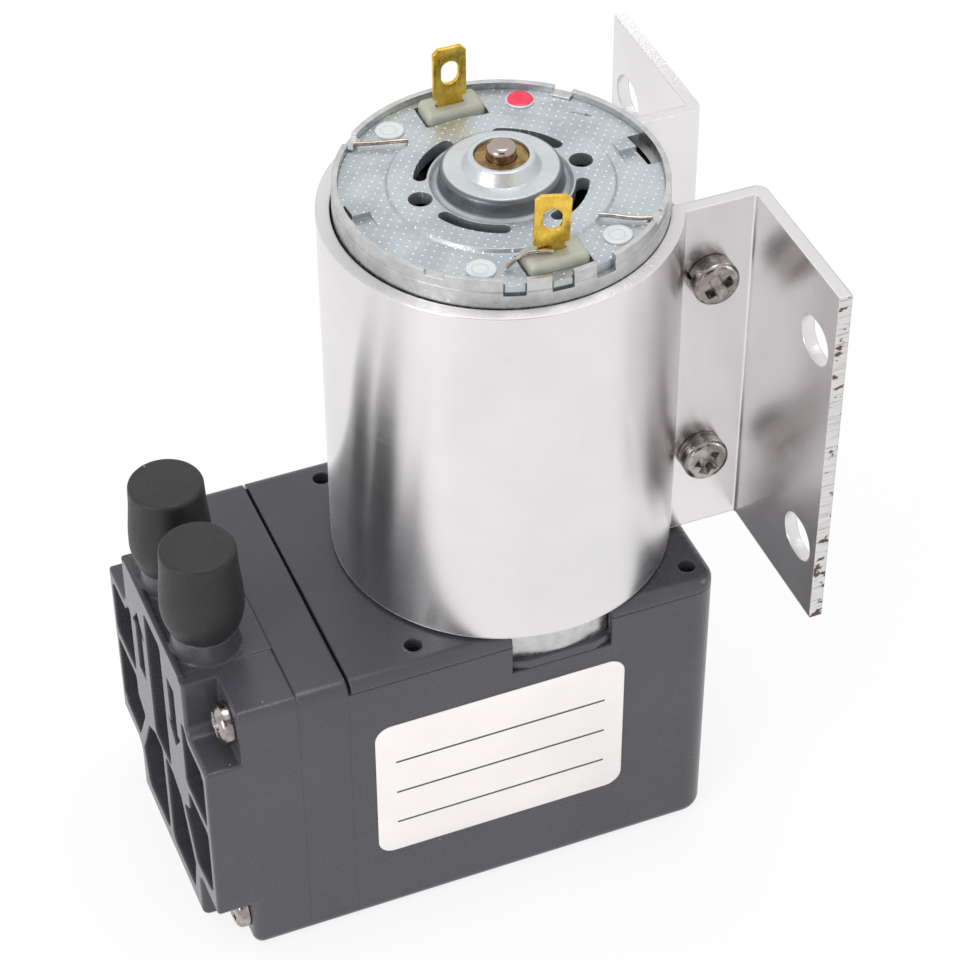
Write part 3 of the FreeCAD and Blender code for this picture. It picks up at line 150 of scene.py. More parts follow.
@dataclass(frozen=True)
class Finish:
    """Procedural material of one real surface; lengths are millimetres.

    Attributes:
        name: What the material is and how its surface was made.
        colour: Main colour.
        drift: Colour that it drifts to in soft patches.
        metallic: 1 for bare metal.
        roughness: Mean roughness.
        spread: How far the grain moves the roughness.
        drift_mm: Size of the patches.
        grain_mm: Size of the surface grain along X, Y and Z.
        depth_mm: Height of the grain.
        edge_mm: Radius that catches light along edges.
        dust: Share of the surface cells that hold a pale speck.
        pattern: Further detail.
        accent: Colour of that detail.
        sheen: Soft glow of rubber at grazing angles.
        depth_light: Share of light that passes under the surface.
        stretch: How far reflections are drawn out upwards.
    """

    name: str
    colour: str
    drift: str
    metallic: float = 0.0
    roughness: float = 0.45
    spread: float = 0.06
    drift_mm: float = 9.0
    grain_mm: Point = (0.25, 0.25, 0.25)
    depth_mm: float = 0.006
    edge_mm: float = 0.15
    dust: float = 0.0
    pattern: Pattern = Pattern.PLAIN
    accent: str = "#808080"
    sheen: float = 0.0
    depth_light: float = 0.0
    stretch: float = 0.0


# Moulded ABS, spark-eroded mould: dark grey, even satin, with a fine grain and some dust.
MOULDED_ABS = Finish("moulded_abs_satin", "#444349", "#3f3e44", roughness=0.27, spread=0.04,
                     drift_mm=14.0, grain_mm=(0.3, 0.3, 0.3), depth_mm=0.002, edge_mm=0.45,
                     dust=0.1, pattern=Pattern.SEAM, accent="#141416")
# Dip-moulded rubber: darker and duller than the plastic, with a soft pale edge and more dust.
MOULDED_RUBBER = Finish("moulded_rubber_matt", "#171619", "#1d1c1f", roughness=0.52, spread=0.06,
                        grain_mm=(0.5, 0.5, 0.8), depth_mm=0.008, edge_mm=0.25, dust=0.2,
                        sheen=0.02)
# Cast EPDM of the seals and diaphragm: black and dull.
SEAL_RUBBER = Finish("cast_seal_rubber", "#232324", "#2b2b2c", roughness=0.7, drift_mm=4.0)
# Rolled aluminium, mill finish: nearly a mirror, its reflections drawn out upwards by fine
# rolling lines round the sleeve; cut edges are torn and dull.
ROLLED_ALUMINIUM = Finish("rolled_aluminium_bright", "#e8e5e6", "#e2e0e1", metallic=1.0,
                          roughness=0.24, spread=0.03, drift_mm=14.0, grain_mm=(14, 14, 0.09),
                          depth_mm=0.0012, edge_mm=0.3, pattern=Pattern.SHEARED,
                          accent="#e9e7e7", stretch=0.9)
# Deep-drawn galvanised steel: grey, blotchy and softly shiny.
DRAWN_STEEL = Finish("drawn_galvanised_steel", "#cbcbcb", "#bcbcbd", metallic=1.0,
                     roughness=0.34, spread=0.1, drift_mm=2.0, grain_mm=(0.6, 0.6, 0.5),
                     depth_mm=0.003, edge_mm=0.12)
# Pressed steel with blue-grey zinc, knurled by the press: rows of tiny raised dots, each given a
# near-white painted highlight for its glint.
PRESSED_ZINC = Finish("pressed_zinc_plate", "#bcc3c7", "#abb2b7", metallic=0.75, roughness=0.36,
                      spread=0.10, drift_mm=5.0, grain_mm=(0.35, 0.35, 0.35), depth_mm=0.006,
                      edge_mm=0.16, pattern=Pattern.DIMPLES, accent="#f4f8fa")
# Ground and polished steel: clear reflections with faint turning rings.
GROUND_STEEL = Finish("ground_steel", "#b0a29d", "#a3938d", metallic=1.0, roughness=0.22,
                      spread=0.06, grain_mm=(3, 3, 0.06), depth_mm=0.001, edge_mm=0.1)
# Nickel on pressed screws: warm, bright and slightly uneven.
NICKEL_STEEL = Finish("nickel_plated_steel", "#b3aca8", "#8d8683", metallic=1.0, roughness=0.2,
                      spread=0.12, drift_mm=1.2, grain_mm=(0.35, 0.35, 0.35), depth_mm=0.012,
                      edge_mm=0.12)
# Hardened spring steel and nuts: the same nickel over a darker, ground surface.
SPRING_STEEL = Finish("spring_steel_nickel", "#98928f", "#6f6a68", metallic=1.0, roughness=0.26,
                      spread=0.12, drift_mm=1.0, grain_mm=(0.3, 0.3, 0.3), depth_mm=0.01)
# Oil-soaked sintered bronze: brown and dull with open pores.
SINTERED_BRONZE = Finish("sintered_bronze", "#ac8f5c", "#856a45", metallic=0.85, roughness=0.38,
                         spread=0.1, drift_mm=1.2, grain_mm=(0.12, 0.12, 0.12), depth_mm=0.01,
                         pattern=Pattern.PORES, accent="#3b2d1a")
# Stamped brass sheet: deep yellow, greener where it was handled.
STAMPED_BRASS = Finish("stamped_brass", "#efcb5a", "#d9ae42", metallic=1.0, roughness=0.3,
                       spread=0.12, drift_mm=1.6, grain_mm=(0.3, 0.3, 0.9), depth_mm=0.008,
                       edge_mm=0.08)
# Injection-moulded natural nylon: milky grey-green that lets light in.
NATURAL_NYLON = Finish("moulded_natural_nylon", "#a9ab9e", "#9d9f92", roughness=0.38,
                       drift_mm=2.5, depth_mm=0.006, edge_mm=0.25, depth_light=0.25,
                       pattern=Pattern.PEGS, accent="#ccd3d3")
# Black nylon of the connecting rod, as moulded.
GLASS_NYLON = Finish("glass_filled_nylon", "#2e2f31", "#3a3b3d", roughness=0.5,
                     grain_mm=(0.15, 0.15, 0.9), depth_mm=0.01)
# Tinned copper wire: pale and shiny.
TINNED_WIRE = Finish("tinned_copper_wire", "#c4bcb4", "#a3958a", metallic=1.0, roughness=0.24,
                     drift_mm=0.8, edge_mm=0.02)
# Spot of red lacquer, wet-looking with a soft edge.
RED_LACQUER = Finish("red_lacquer", "#e82f55", "#d51f45", roughness=0.22, drift_mm=1.0,
                     grain_mm=(0.5, 0.5, 0.5), depth_mm=0.01, edge_mm=0.05)
# Matt white polypropylene film with generic ruled lines.
LABEL_FILM = Finish("white_label_film", "#ebe7e6", "#e5e1e0", roughness=0.42, drift_mm=12.0,
                    grain_mm=(0.2, 0.2, 0.2), depth_mm=0.002, edge_mm=0.04,
                    pattern=Pattern.RULES, accent="#3a3a3e")
# Die-cast zinc of the eccentric: grey with a cast skin.
DIE_CAST_ZINC = Finish("die_cast_zinc", "#9b9da1", "#85878b", metallic=1.0, roughness=0.42,
                       drift_mm=3.0, grain_mm=(0.4, 0.4, 0.4), depth_mm=0.02)
# Stacked silicon-steel sheets, varnished: fine dark lines between the sheets.
LAMINATED_STEEL = Finish("laminated_silicon_steel", "#6f6c6a", "#565350", metallic=0.9,
                         roughness=0.4, pattern=Pattern.LAYERS, accent="#2d2a28")
# Enamelled copper wire, wound tight: glossy red-brown strands.
ENAMELLED_COPPER = Finish("enamelled_copper_wire", "#a8452a", "#84321f", metallic=0.6,
                          roughness=0.3, pattern=Pattern.WIRES, accent="#43160c")
# Turned copper of the commutator.
TURNED_COPPER = Finish("turned_copper", "#c98a63", "#a86f4d", metallic=1.0, roughness=0.25,
                       grain_mm=(3, 3, 0.08), depth_mm=0.003)
# Sintered ferrite magnets: charcoal grey, dry.
FERRITE = Finish("sintered_ferrite", "#3b3c3f", "#303134", roughness=0.65, drift_mm=2.0,
                 depth_mm=0.015)
# Pressed carbon brushes: black with a graphite shine.
CARBON = Finish("pressed_carbon", "#2b2c2e", "#3c3d40", metallic=0.3, roughness=0.45)

# Knurled dots of the end cap: pitch, radius, height, turn and where they start
DIMPLE_PITCH = 0.98
DIMPLE_R = 0.17
DIMPLE_HEIGHT = 0.05
DIMPLE_TURN = math.radians(38)
SMOOTH_BOSS_R = 7.9
# Where the bearing boss's top ends and its wall meets the plate
BOSS_TOP_R = 6.0
BOSS_FOOT_R = 6.75
BOSS_TOP_COLOUR = "#d8dbdc"
# Painted shade laid on the boss's wall
BOSS_WALL_PAINTED_SHADE = "#54575b"
# Joint between crankcase and lid: its height and where it starts behind the pump head
LID_JOINT_Z = 37.4
LID_JOINT_X = -25.6
# Heights of the label's three ruled lines, their ends along X and their thickness
RULE_HEIGHTS = (14.6, 19.6, 24.6)
RULE_ENDS = (-20.4, 5.4)
RULE_T = 0.28
# Stamped arrow on the end cap: where it starts, its direction and its sizes
ARROW_TAIL = (11.9, 9.0)
ARROW_TURN = math.radians(41.4)
ARROW_LEN = 2.3
ARROW_HEAD = 0.75
ARROW_SPREAD = 0.42
ARROW_LINE = 0.14
ARROW_DEPTH = 0.05
ARROW_COLOUR = "#3c4044"
# The bracket's low edge, its flanges' ends, and its torn burr, nicks and stains
SHEET_LOW = 39.3
SHEET_END = 28.2
SHEET_BURR = 0.15
TORN_HEIGHT = 0.07
NICK_DEPTH = 0.08
NICK_COLOUR = "#6b594c"
STAIN_REACH = 22.0
# Middle of the four nylon pegs on the end cap, and the ring that the staking tool left
PEG_X, PEG_Y = 7.6, 13.1
PEG_R = 1.7
PEG_RING_R = 0.85
RING_DEPTH = 0.06
# Pitch of the armature's sheets and of its wires, and the depth of joints, pores and lines
SHEET_LAYER = 0.5
WIRE_PITCH = 0.42
LINE_DEPTH = 0.03
# Dust: distance between places where a speck may lie, its radius and its colour
DUST_PITCH = 2.2
DUST_R = 0.077
DUST_COLOUR = "#c9c9cb"


class MaterialMaker:
    """Builds the node tree of one finish."""

    def __init__(self, finish: Finish) -> None:
        """Start an empty material whose coordinates are millimetres in the row frame.

        Args:
            finish: The surface to draw.
        """
        self.finish = finish
        self.material = bpy.data.materials.new(finish.name)
        self.tree = empty_tree(self.material)
        coordinates = self.add("ShaderNodeTexCoord")
        scaled = self.add("ShaderNodeVectorMath", {"operation": "SCALE", "Scale": 1 / MM},
                          {0: coordinates.outputs["Object"]})
        self.place = scaled.outputs[0]

    def add(self, kind: str, settings: dict | None = None,
            links: dict | None = None) -> bpy.types.Node:
        """Add a node to this material's tree, as add_node does."""
        return add_node(self.tree, kind, settings, links)

    def noise(self, size: Point, detail: float = 2.0) -> bpy.types.NodeSocket:
        """Noise whose blobs have the given size.

        Args:
            size: Blob size in millimetres along X, Y and Z.
            detail: Octaves of finer noise.

        Returns:
            Value socket, about 0.3 to 0.7.
        """
        stretched = self.add("ShaderNodeVectorMath", {"operation": "DIVIDE", 1: size},
                             {0: self.place})
        noise = self.add("ShaderNodeTexNoise", {"Scale": 1.0, "Detail": detail},
                         {"Vector": stretched.outputs[0]})
        return noise.outputs["Fac"]

    def math(self, operation: str, *values: float | bpy.types.NodeSocket) -> bpy.types.NodeSocket:
        """Result of a math node on numbers and sockets."""
        settings = {"operation": operation}
        settings |= {i: v for i, v in enumerate(values) if isinstance(v, (int, float))}
        links = {i: v for i, v in enumerate(values) if not isinstance(v, (int, float))}
        return self.add("ShaderNodeMath", settings, links).outputs[0]

    def both(self, *masks: float | bpy.types.NodeSocket) -> bpy.types.NodeSocket:
        """Product of masks and shares."""
        product = masks[0]
        for mask in masks[1:]:
            product = self.math("MULTIPLY", product, mask)
        return product

    def far(self, *sides: bpy.types.NodeSocket) -> bpy.types.NodeSocket:
        """Distance from its two coordinates."""
        return self.math("SQRT", self.math("ADD", *[self.both(side, side) for side in sides]))

    def away(self, value: bpy.types.NodeSocket, middle: float) -> bpy.types.NodeSocket:
        """How far a value is from a middle, never negative."""
        return self.math("ABSOLUTE", self.math("SUBTRACT", value, middle))

    def ramp(self, value: bpy.types.NodeSocket, start: float, end: float,
             low: float = 0.0, high: float = 1.0) -> bpy.types.NodeSocket:
        """Value moved smoothly from the range start to end into low to high."""
        node = self.add("ShaderNodeMapRange", {"interpolation_type": "SMOOTHSTEP", 1: start,
                                               2: end, 3: low, 4: high}, {0: value})
        return node.outputs[0]

    def blend(self, factor: bpy.types.NodeSocket, first: bpy.types.NodeSocket | str,
              second: bpy.types.NodeSocket | str) -> bpy.types.NodeSocket:
        """Mix of two colours, each a hex text or a socket."""
        settings = {"data_type": "RGBA"}
        links = {0: factor}
        for number, colour in ((6, first), (7, second)):
            if isinstance(colour, str):
                settings[number] = linear(colour)
            else:
                links[number] = colour
        return self.add("ShaderNodeMix", settings, links).outputs[2]

    def split(self, vector: bpy.types.NodeSocket) -> tuple[bpy.types.NodeSocket, ...]:
        """X, Y and Z of a vector."""
        return tuple(self.add("ShaderNodeSeparateXYZ", links={0: vector}).outputs[:3])

    def axes(self) -> tuple[bpy.types.NodeSocket, ...]:
        """X, Y and Z of the surface point in millimetres."""
        return self.split(self.place)

    def facing(self, axis: int) -> bpy.types.NodeSocket:
        """1 where the surface squarely faces along an axis, 0 being X and 2 being Z."""
        normal = self.add("ShaderNodeNewGeometry").outputs["True Normal"]
        return self.math("GREATER_THAN", self.math("ABSOLUTE", self.split(normal)[axis]), 0.9)

    def dimples_and_glints(self) -> bpy.types.NodeSocket:
        """Staggered raised dots outside the smooth boss, 1 on a dot; the mask also lays their
        painted highlight.
        """
        turned = self.add("ShaderNodeVectorRotate",
                          {"rotation_type": "Z_AXIS", "Angle": DIMPLE_TURN}, {0: self.place})
        scaled = self.add("ShaderNodeVectorMath", {"operation": "SCALE",
                                                   "Scale": 1 / DIMPLE_PITCH},
                          {0: turned.outputs[0]})
        cell = self.add("ShaderNodeVectorMath", {"operation": "FRACTION"}, {0: scaled.outputs[0]})
        across, along, _ = self.split(cell.outputs[0])
        distance = self.far(self.away(across, 0.5), self.away(along, 0.5))
        reach = DIMPLE_R / DIMPLE_PITCH
        dots = self.ramp(distance, reach * 0.45, reach, 1.0, 0.0)
        faint = self.ramp(self.noise((2.4, 2.4, 2.4)), 0.35, 0.6, 0.35, 1.0)
        outside = self.ramp(self.far(*self.axes()[:2]), SMOOTH_BOSS_R - 0.1, SMOOTH_BOSS_R)
        return self.both(dots, outside, faint)

    def rules(self) -> bpy.types.NodeSocket:
        """Three level ruled lines on the label, 1 on a line."""
        x, _, z = self.axes()
        lines = [self.math("LESS_THAN", self.away(z, height), RULE_T / 2)
                 for height in RULE_HEIGHTS]
        middle, half = sum(RULE_ENDS) / 2, (RULE_ENDS[1] - RULE_ENDS[0]) / 2
        inside = self.math("LESS_THAN", self.away(x, middle), half)
        return self.both(reduce(partial(self.math, "ADD"), lines), inside)

    def pegs(self) -> tuple[bpy.types.NodeSocket, bpy.types.NodeSocket]:
        """Heads of the pegs, 1 on a head, and the staking rings on them, 1 on a ring."""
        x, y, _ = self.axes()
        radius = self.far(*[self.away(self.math("ABSOLUTE", along), middle)
                            for along, middle in ((x, PEG_X), (y, PEG_Y))])
        ring = self.ramp(self.away(radius, PEG_RING_R), 0.05, 0.2, 1.0, 0.0)
        return self.math("LESS_THAN", radius, PEG_R), ring

    def end_faces(self) -> bpy.types.NodeSocket:
        """Cut end faces of the flanges, 1 on them."""
        side = self.away(self.axes()[1], 0.0)
        return self.both(self.facing(1), self.math("GREATER_THAN", side, SHEET_END - SHEET_BURR))

    def sheared(self) -> bpy.types.NodeSocket:
        """Cut faces of the sheet and the burr at its low edge, 1 on them."""
        burr = self.math("LESS_THAN", self.axes()[2], SHEET_LOW + SHEET_BURR)
        return self.math("MAXIMUM", self.math("MAXIMUM", self.facing(2), burr), self.end_faces())

    def stains(self) -> bpy.types.NodeSocket:
        """Brown nicks and fine saw lines on the flanges' end faces, 1 in a nick."""
        low = self.ramp(self.axes()[2], SHEET_LOW, SHEET_LOW + STAIN_REACH, 0.07, 0.0)
        nicks = self.ramp(self.math("ADD", self.noise((1.2, 1.2, 0.8), 4.0), low), 0.6, 0.66)
        saw = self.ramp(self.noise((4.0, 4.0, 0.16), 2.0), 0.5, 0.72, 0.0, 0.45)
        return self.both(self.math("MAXIMUM", nicks, saw), self.end_faces())

    def arrow(self) -> bpy.types.NodeSocket:
        """Small stamped arrow for the turning direction, 1 in its line."""
        turned = self.add("ShaderNodeVectorRotate",
                          {"rotation_type": "Z_AXIS", "Center": (*ARROW_TAIL, 0),
                           "Angle": ARROW_TURN}, {0: self.place})
        x, y, _ = self.split(turned.outputs[0])
        along = self.math("SUBTRACT", x, ARROW_TAIL[0])
        left = self.math("SUBTRACT", ARROW_LEN, along)
        head = self.both(self.math("LESS_THAN", left, ARROW_HEAD), left, ARROW_SPREAD)
        half = self.math("MAXIMUM", head, ARROW_LINE / 2)
        return self.both(self.math("GREATER_THAN", along, 0.0),
                         self.math("GREATER_THAN", left, 0.0),
                         self.math("LESS_THAN", self.away(y, ARROW_TAIL[1]), half))

    def seam(self) -> bpy.types.NodeSocket:
        """Level joint between the crankcase and its lid, 1 in the joint."""
        x, _, z = self.axes()
        joint = self.ramp(self.away(z, LID_JOINT_Z), 0.04, 0.1, 1.0, 0.0)
        return self.both(joint, self.math("GREATER_THAN", x, LID_JOINT_X))

    def boss(self) -> tuple[bpy.types.NodeSocket, bpy.types.NodeSocket]:
        """Top of the bearing boss, and its wall that takes a painted shade, 1 on each."""
        radius = self.far(*self.axes()[:2])
        top = self.ramp(radius, BOSS_TOP_R, BOSS_TOP_R + 0.3, 1.0, 0.0)
        wall = self.both(self.math("SUBTRACT", 1.0, top),
                         self.ramp(radius, BOSS_FOOT_R, BOSS_FOOT_R + 0.2, 1.0, 0.0))
        return top, wall

    def bands(self, pitch: float, sharp: float) -> bpy.types.NodeSocket:
        """Level lines at a pitch in millimetres, 1 on a line."""
        _, _, z = self.axes()
        phase = self.math("SINE", self.both(z, math.tau / pitch))
        return self.ramp(phase, sharp, 1.0)

    def pores(self) -> bpy.types.NodeSocket:
        """Open pores about 0.15 mm wide, 1 in a pore."""
        return self.ramp(self.noise((0.16, 0.16, 0.16), 1.0), 0.36, 0.30)

    def detail(self) -> bpy.types.NodeSocket | None:
        """The finish's pattern as a mask, or None where it has none."""
        makers: dict[Pattern, Callable[[], bpy.types.NodeSocket]] = {
            Pattern.DIMPLES: self.dimples_and_glints,
            Pattern.PORES: self.pores,
            Pattern.LAYERS: lambda: self.bands(SHEET_LAYER, 0.8),
            Pattern.WIRES: lambda: self.bands(WIRE_PITCH, 0.4),
            Pattern.RULES: self.rules,
            Pattern.SHEARED: self.sheared,
            Pattern.SEAM: self.seam,
        }
        maker = makers.get(self.finish.pattern)
        return maker() if maker else None

    def dust(self) -> bpy.types.NodeSocket:
        """Sparse pale specks about 0.1 mm wide, 1 on a speck."""
        cells = self.add("ShaderNodeTexVoronoi", {"Scale": 1 / DUST_PITCH},
                         {"Vector": self.place})
        near = self.math("LESS_THAN", cells.outputs["Distance"], DUST_R / DUST_PITCH)
        parts = self.add("ShaderNodeSeparateColor", links={0: cells.outputs["Color"]})
        chosen = self.math("LESS_THAN", parts.outputs[0], self.finish.dust)
        return self.both(near, chosen)

    def relief(self, colour: bpy.types.NodeSocket, height: bpy.types.NodeSocket,
               rough: bpy.types.NodeSocket) -> tuple[bpy.types.NodeSocket, ...]:
        """Lay the finish's pattern over its plain surface.

        Args:
            colour: Colour without the pattern.
            height: Height of the grain in millimetres.
            rough: Roughness without the pattern.

        Returns:
            Colour, height and roughness with the pattern.
        """
        f = self.finish
        if f.pattern is Pattern.PEGS:
            heads, ring = self.pegs()
            colour = self.blend(heads, colour, f.accent)
            return colour, self.math("SUBTRACT", height, self.both(ring, RING_DEPTH)), rough
        mask = self.detail()
        if mask is None:
            return colour, height, rough
        if f.pattern is Pattern.SHEARED:
            colour = self.blend(self.both(mask, 0.55), colour, f.accent)
            torn = self.both(mask, self.noise((0.3, 0.3, 0.3), 5.0), TORN_HEIGHT)
            rough = self.math("MAXIMUM", rough, self.both(mask, 0.42))
            stains = self.stains()
            colour = self.blend(stains, colour, NICK_COLOUR)
            height = self.math("SUBTRACT", self.math("ADD", height, torn),
                               self.both(stains, NICK_DEPTH))
            return colour, height, rough
        # Colour of the pattern; on the end cap's raised dots this is a painted highlight.
        colour = self.blend(mask, colour, f.accent)
        if f.pattern is Pattern.DIMPLES:
            arrow = self.arrow()
            colour = self.blend(self.both(arrow, 0.7), colour, ARROW_COLOUR)
            top, wall = self.boss()
            colour = self.blend(self.both(top, 0.5), colour, BOSS_TOP_COLOUR)
            # Painted shade on the boss's wall.
            colour = self.blend(self.both(wall, 0.85), colour, BOSS_WALL_PAINTED_SHADE)
            height = self.math("ADD", height, self.both(mask, DIMPLE_HEIGHT))
            height = self.math("SUBTRACT", height, self.both(arrow, ARROW_DEPTH))
        elif f.pattern is not Pattern.RULES:
            height = self.math("SUBTRACT", height, self.both(mask, LINE_DEPTH))
        return colour, height, rough

    def build(self) -> bpy.types.Material:
        """Finish the material.

        Returns:
            The material with colour, roughness and relief from its nodes.
        """
        f = self.finish
        patches = self.ramp(self.noise((f.drift_mm,) * 3, 4.0), 0.35, 0.65)
        grain = self.noise(f.grain_mm, 3.0)
        colour, height, rough = self.relief(
            self.blend(patches, f.colour, f.drift), self.both(grain, f.depth_mm),
            self.ramp(grain, 0.25, 0.75, f.roughness - f.spread, f.roughness + f.spread))
        if f.dust:
            colour = self.blend(self.both(self.dust(), 0.75), colour, DUST_COLOUR)
        rounded = self.add("ShaderNodeBevel", {"samples": 6, "Radius": f.edge_mm * MM})
        bump = self.add("ShaderNodeBump", {"Strength": 1.0, "Distance": MM},
                        {"Height": height, "Normal": rounded.outputs[0]})
        settings = {"Metallic": f.metallic}
        links = {"Base Color": colour, "Roughness": rough, "Normal": bump.outputs[0]}
        if f.sheen:
            settings |= {"Sheen Weight": f.sheen, "Sheen Roughness": 0.45}
        if f.depth_light:
            settings |= {"Subsurface Weight": f.depth_light, "Subsurface Scale": 0.8 * MM}
        if f.stretch:
            settings |= {"Anisotropic": f.stretch, "Anisotropic Rotation": 0.25}
            around = self.add("ShaderNodeTangent", {"direction_type": "RADIAL", "axis": "Z"})
            links["Tangent"] = around.outputs[0]
        shader = self.add("ShaderNodeBsdfPrincipled", settings, links)
        self.add("ShaderNodeOutputMaterial", links={"Surface": shader.outputs[0]})
        return self.material


@lru_cache(maxsize=None)
def material_of(finish: Finish) -> bpy.types.Material:
    """The one material of a finish."""
    return MaterialMaker(finish).build()


def dress(finish: Finish, *nodes: str) -> None:
    """Give CAD nodes their finish.

    Args:
        finish: Their surface.
        nodes: Names of the nodes, which keep their shape and place.
    """
    for node in nodes:
        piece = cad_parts[node]
        piece.data.materials.clear()
        piece.data.materials.append(material_of(finish))
        log.info("dressed %s in %s", node, finish.name)


def lathe(outline: Outline, segments: int = 64) -> bmesh.types.BMesh:
    """Turn an outline of (radius, height) pairs about Z; a radius of 0 closes it.

    Args:
        outline: Pairs in millimetres, from one end of the shape to the other.
        segments: Faces round the axis.

    Returns:
        The turned mesh.
    """
    mesh = bmesh.new()
    rings = []
    for radius, height in outline:
        if radius < 1e-6:
            rings.append([mesh.verts.new((0, 0, height))])
            continue
        rings.append([
            mesh.verts.new((radius * math.cos(math.tau * i / segments),
                            radius * math.sin(math.tau * i / segments), height))
            for i in range(segments)
        ])
    for low, high in zip(rings, rings[1:]):
        for i in range(segments):
            j = (i + 1) % segments
            corners = [low[i % len(low)], low[j % len(low)],
                       high[j % len(high)], high[i % len(high)]]
            corners = list(dict.fromkeys(corners))
            if len(corners) > 2:
                mesh.faces.new(corners)
    bmesh.ops.recalc_face_normals(mesh, faces=mesh.faces)
    return mesh


def curve_through(points: Outline, steps: int = 8) -> Outline:
    """Smooth outline through a few points, its ends kept.

    Args:
        points: Pairs that the curve passes.
        steps: Pieces between two neighbours.

    Returns:
        The denser outline.
    """
    ends = [points[0]] + points + [points[-1]]
    smooth = []
    for a, b, c, d in zip(ends, ends[1:], ends[2:], ends[3:]):
        for step in range(steps):
            t = step / steps
            smooth.append(tuple(
                0.5 * (2 * q + (r - p) * t + (2 * p - 5 * q + 4 * r - s) * t ** 2
                       + (3 * q - p - 3 * r + s) * t ** 3)
                for p, q, r, s in zip(a, b, c, d)
            ))
    return smooth + [points[-1]]


def make_piece(name: str, mesh: bmesh.types.BMesh, place: Matrix, finish: Finish,
               smooth_angle: float = 35.0) -> bpy.types.Object:
    """Turn a mesh in millimetres into a dressed object in the row frame.

    Args:
        name: Name of the piece.
        mesh: Shape in its own millimetres; it is freed.
        place: Where it goes, in millimetres.
        finish: Its surface.
        smooth_angle: Edges sharper than this stay sharp, in degrees.

    Returns:
        The object, at the origin with its place in its mesh.
    """
    data = data_of(name, mesh)
    data.transform(Matrix.Scale(MM, 4) @ place)
    data.materials.append(material_of(finish))
    data.shade_smooth()
    data.set_sharp_from_angle(angle=math.radians(smooth_angle))
    return add_object(name, data)


def cut_away(body: bmesh.types.BMesh, tool: bmesh.types.BMesh) -> bmesh.types.BMesh:
    """Body with the tool's shape cut out; both are freed.

    Args:
        body: Closed mesh to cut.
        tool: Closed mesh that is removed from it.

    Returns:
        The cut mesh.
    """
    holders = [add_object(name, data_of(name, mesh))
               for name, mesh in (("cut_body", body), ("cut_tool", tool))]
    boolean = holders[0].modifiers.new("cut", "BOOLEAN")
    boolean.operation, boolean.solver, boolean.object = "DIFFERENCE", "EXACT", holders[1]
    bpy.context.view_layer.update()
    evaluated = holders[0].evaluated_get(bpy.context.evaluated_depsgraph_get())
    result = bmesh.new()
    result.from_mesh(evaluated.to_mesh())
    evaluated.to_mesh_clear()
    for holder in holders:
        data = holder.data
        bpy.data.objects.remove(holder)
        bpy.data.meshes.remove(data)
    return result


def merge(parts: list[bmesh.types.BMesh]) -> bmesh.types.BMesh:
    """One mesh from several; the parts are freed."""
    whole = bmesh.new()
    for part in parts:
        data = data_of("part", part)
        whole.from_mesh(data)
        bpy.data.meshes.remove(data)
    return whole


def moved(mesh: bmesh.types.BMesh, place: Matrix) -> bmesh.types.BMesh:
    """The same mesh after a move."""
    bmesh.ops.transform(mesh, matrix=place, verts=mesh.verts)
    return mesh


def settle(piece: bpy.types.Object, body: str, slot: str, *nodes: str) -> bpy.types.Object:
    """Let a piece ride on a body and stand for CAD nodes.

    Args:
        piece: The finished piece.
        body: CAD body that carries it.
        slot: Not used.
        nodes: CAD nodes that it replaces.

    Returns:
        The piece.
    """
    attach(piece, body)
    if nodes:
        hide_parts(*nodes)
    log.info("built %s on %s", piece.name, body)
    return piece


